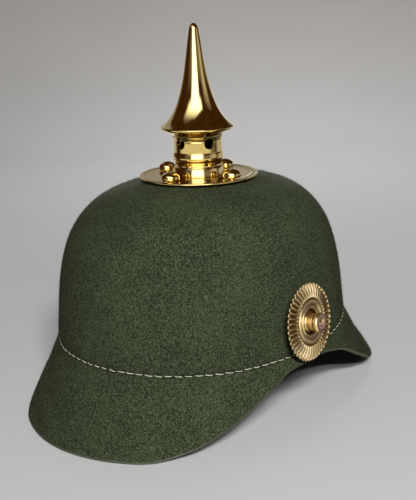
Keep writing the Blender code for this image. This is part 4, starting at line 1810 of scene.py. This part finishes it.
def mirrored_room(stage, toward, aside):
    """A dome that only reflections see: window, dark walls, dim ceiling, pale wall behind."""
    profile = []
    for step in range(49):
        angle = -pi / 2 + pi * step / 48
        profile.append((ROOM_RADIUS * cos(angle), ROOM_LEVEL + ROOM_RADIUS * sin(angle)))
    profile[0] = (0, ROOM_LEVEL - ROOM_RADIUS)
    profile[-1] = (0, ROOM_LEVEL + ROOM_RADIUS)
    mesh = turned_mesh("room", profile, 64)
    made, maker, place = new_material("mirrored_room")
    parts = [maker.node("ShaderNodeSeparateXYZ", {}, {0: place}, name) for name in "XYZ"]
    near = parts[0] * toward.x + parts[1] * toward.y
    right = parts[0] * aside.x + parts[1] * aside.y
    turn = maker.node("ShaderNodeMath", {"operation": "ARCTAN2"}, {0: right, 1: near}) * degrees(1)
    lift = (parts[2] - ROOM_LEVEL) / ROOM_RADIUS
    rise = maker.node("ShaderNodeMath", {"operation": "ARCSINE"}, {0: lift}) * degrees(1)

    def past(value, edge, soft):
        return ((value - edge) / soft + 0.5).clamped()

    def between(value, low, high, soft):
        return past(value, low, soft) * (1.0 - past(value, high, soft))

    # Each patch spans degrees of turn from the camera, negative to its left, and of rise
    clutter = maker.noise(place, 2.6, 3.0, 0.6)
    colour = maker.mix(clutter, (0.010, 0.0032, 0.0007, 1), (0.080, 0.034, 0.010, 1))
    behind = past(abs(turn), 158.0, 12.0) * (1.0 - past(rise, 26.0, 14.0))
    beyond = past(turn, 101.0, 10.0) * (1.0 - past(rise, 8.0, 6.0))
    beyond = beyond * (past(rise, -20.0, 12.0) * 0.8 + 0.2)
    beside = past(-1.0 * turn, 122.0, 12.0) * (1.0 - past(rise, -1.0, 6.0))
    table = between(turn, -88.0, 62.0, 16.0) * (1.0 - past(rise, -5.0, 4.0))
    limb = between(-1.0 * turn, 138.0, 162.0, 8.0) * between(rise, 2.0, 44.0, 10.0) * 0.6
    wall = behind * 0.6 + beyond + beside + limb
    colour = maker.mix((wall * 0.66).clamped(), colour, (0.70, 0.69, 0.66, 1))
    colour = maker.mix(table, colour, (0.76, 0.71, 0.51, 1))
    lamp = between(turn, 60.0, 90.0, 16.0) * between(rise, -6.0, 28.0, 14.0) * 0.50
    shelf = between(turn, 22.0, 60.0, 8.0) * (1.0 - past(rise, 20.0, 6.0)) * 0.17
    edge = between(turn, -62.0, -36.0, 16.0) * (1.0 - past(rise, 22.0, 12.0)) * 0.14
    colour = maker.mix((lamp + shelf + edge).clamped(), colour, (1.0, 0.92, 0.80, 1))
    pane = between(turn, -31.0, 21.0, 8.0) * between(rise, -3.0, 41.0, 6.0)
    reach = ((68.0 - rise) / 32.0).clamped() ** 1.3 * ((turn + 88.0) / 68.0).clamped()
    gate = past(rise + turn * 0.6, 3.0, 10.0) * past(rise, 34.0, 8.0)
    sky = reach * gate * (1.0 - past(turn + past(rise, 56.0, 32.0) * 60.0, 34.0, 9.0))
    share = (pane + sky * (1.0 - pane)).clamped()
    bright = stage.window
    colour = maker.mix(share, colour, (bright, bright * 0.98, bright * 0.90, 1))
    finish_material(
        maker,
        {"Emission Color": colour},
        {
            "Base Color": (0, 0, 0, 1),
            "Roughness": 1.0,
            "Specular IOR Level": 0.0,
            "Emission Strength": 1.0,
        },
    )
    room = show("mirrored_room", mesh, made)
    seen_only_in_reflections(room)
    return room


class HELMET_OT_stage(bpy.types.Operator):
    """Set up the camera, the pale sweep and the soft lights"""

    bl_idname = "helmet.stage"
    bl_label = "Stage"

    def execute(self, context):
        make_stage(context.scene.helmet)
        return {"FINISHED"}


class HELMET_OT_felt_hood(bpy.types.Operator):
    """Make the felt crown and brims"""

    bl_idname = "helmet.felt_hood"
    bl_label = "Felt hood"

    def execute(self, context):
        make_felt_hood(context.scene.helmet)
        return {"FINISHED"}


class HELMET_OT_nap(bpy.types.Operator):
    """Raise loose fibres on the felt"""

    bl_idname = "helmet.nap"
    bl_label = "Nap"

    def execute(self, context):
        make_nap(context.scene.helmet)
        return {"FINISHED"}


class HELMET_OT_stitching(bpy.types.Operator):
    """Sew the running stitches round the seam"""

    bl_idname = "helmet.stitching"
    bl_label = "Stitching"

    def execute(self, context):
        make_stitching(context.scene.helmet)
        return {"FINISHED"}


class HELMET_OT_base_plate(bpy.types.Operator):
    """Turn the plate under the spike"""

    bl_idname = "helmet.base_plate"
    bl_label = "Base plate"

    def execute(self, context):
        make_base_plate(context.scene.helmet)
        return {"FINISHED"}


class HELMET_OT_studs(bpy.types.Operator):
    """Set the four studs on the plate"""

    bl_idname = "helmet.studs"
    bl_label = "Studs"

    def execute(self, context):
        make_studs(context.scene.helmet)
        return {"FINISHED"}


class HELMET_OT_neck(bpy.types.Operator):
    """Turn the neck and drill its vent holes"""

    bl_idname = "helmet.neck"
    bl_label = "Spike neck"

    def execute(self, context):
        make_neck(context.scene.helmet)
        return {"FINISHED"}


class HELMET_OT_spike(bpy.types.Operator):
    """Turn the spike"""

    bl_idname = "helmet.spike"
    bl_label = "Spike"

    def execute(self, context):
        make_spike(context.scene.helmet)
        return {"FINISHED"}


class HELMET_OT_rosettes(bpy.types.Operator):
    """Make the two fluted side rosettes"""

    bl_idname = "helmet.rosettes"
    bl_label = "Rosettes"

    def execute(self, context):
        make_rosettes(context.scene.helmet)
        return {"FINISHED"}


class HELMET_OT_posts(bpy.types.Operator):
    """Make the capped posts in the rosettes"""

    bl_idname = "helmet.posts"
    bl_label = "Strap posts"

    def execute(self, context):
        make_posts(context.scene.helmet)
        return {"FINISHED"}


STEPS = (
    HELMET_OT_felt_hood,
    HELMET_OT_nap,
    HELMET_OT_stitching,
    HELMET_OT_base_plate,
    HELMET_OT_studs,
    HELMET_OT_neck,
    HELMET_OT_spike,
    HELMET_OT_rosettes,
    HELMET_OT_posts,
    HELMET_OT_stage,
)


class HELMET_PT_panel(bpy.types.Panel):
    """Sizes, colours and makers of the helmet"""

    bl_label = "Felt helmet"
    bl_idname = "HELMET_PT_panel"
    bl_space_type = "VIEW_3D"
    bl_region_type = "UI"
    bl_category = "Helmet"

    def draw(self, context):
        looks = context.scene.helmet
        for part in ("felt", "stitching", "brass", "fittings", "stage"):
            box = self.layout.box()
            group = getattr(looks, part)
            for name in group.__annotations__:
                box.prop(group, name)
        for step in STEPS:
            self.layout.operator(step.bl_idname)


GROUPS = (FeltLooks, StitchLooks, BrassLooks, FittingSizes, StageLooks, HelmetLooks)


def register():
    for made in (*GROUPS, *STEPS, HELMET_PT_panel):
        bpy.utils.register_class(made)
    bpy.types.Scene.helmet = PointerProperty(type=HelmetLooks)


def unregister():
    del bpy.types.Scene.helmet
    for made in reversed((*GROUPS, *STEPS, HELMET_PT_panel)):
        bpy.utils.unregister_class(made)


def main():
    register()
    for step in STEPS:
        group, name = step.bl_idname.split(".")
        getattr(getattr(bpy.ops, group), name)()


if __name__ == "__main__":
    main()
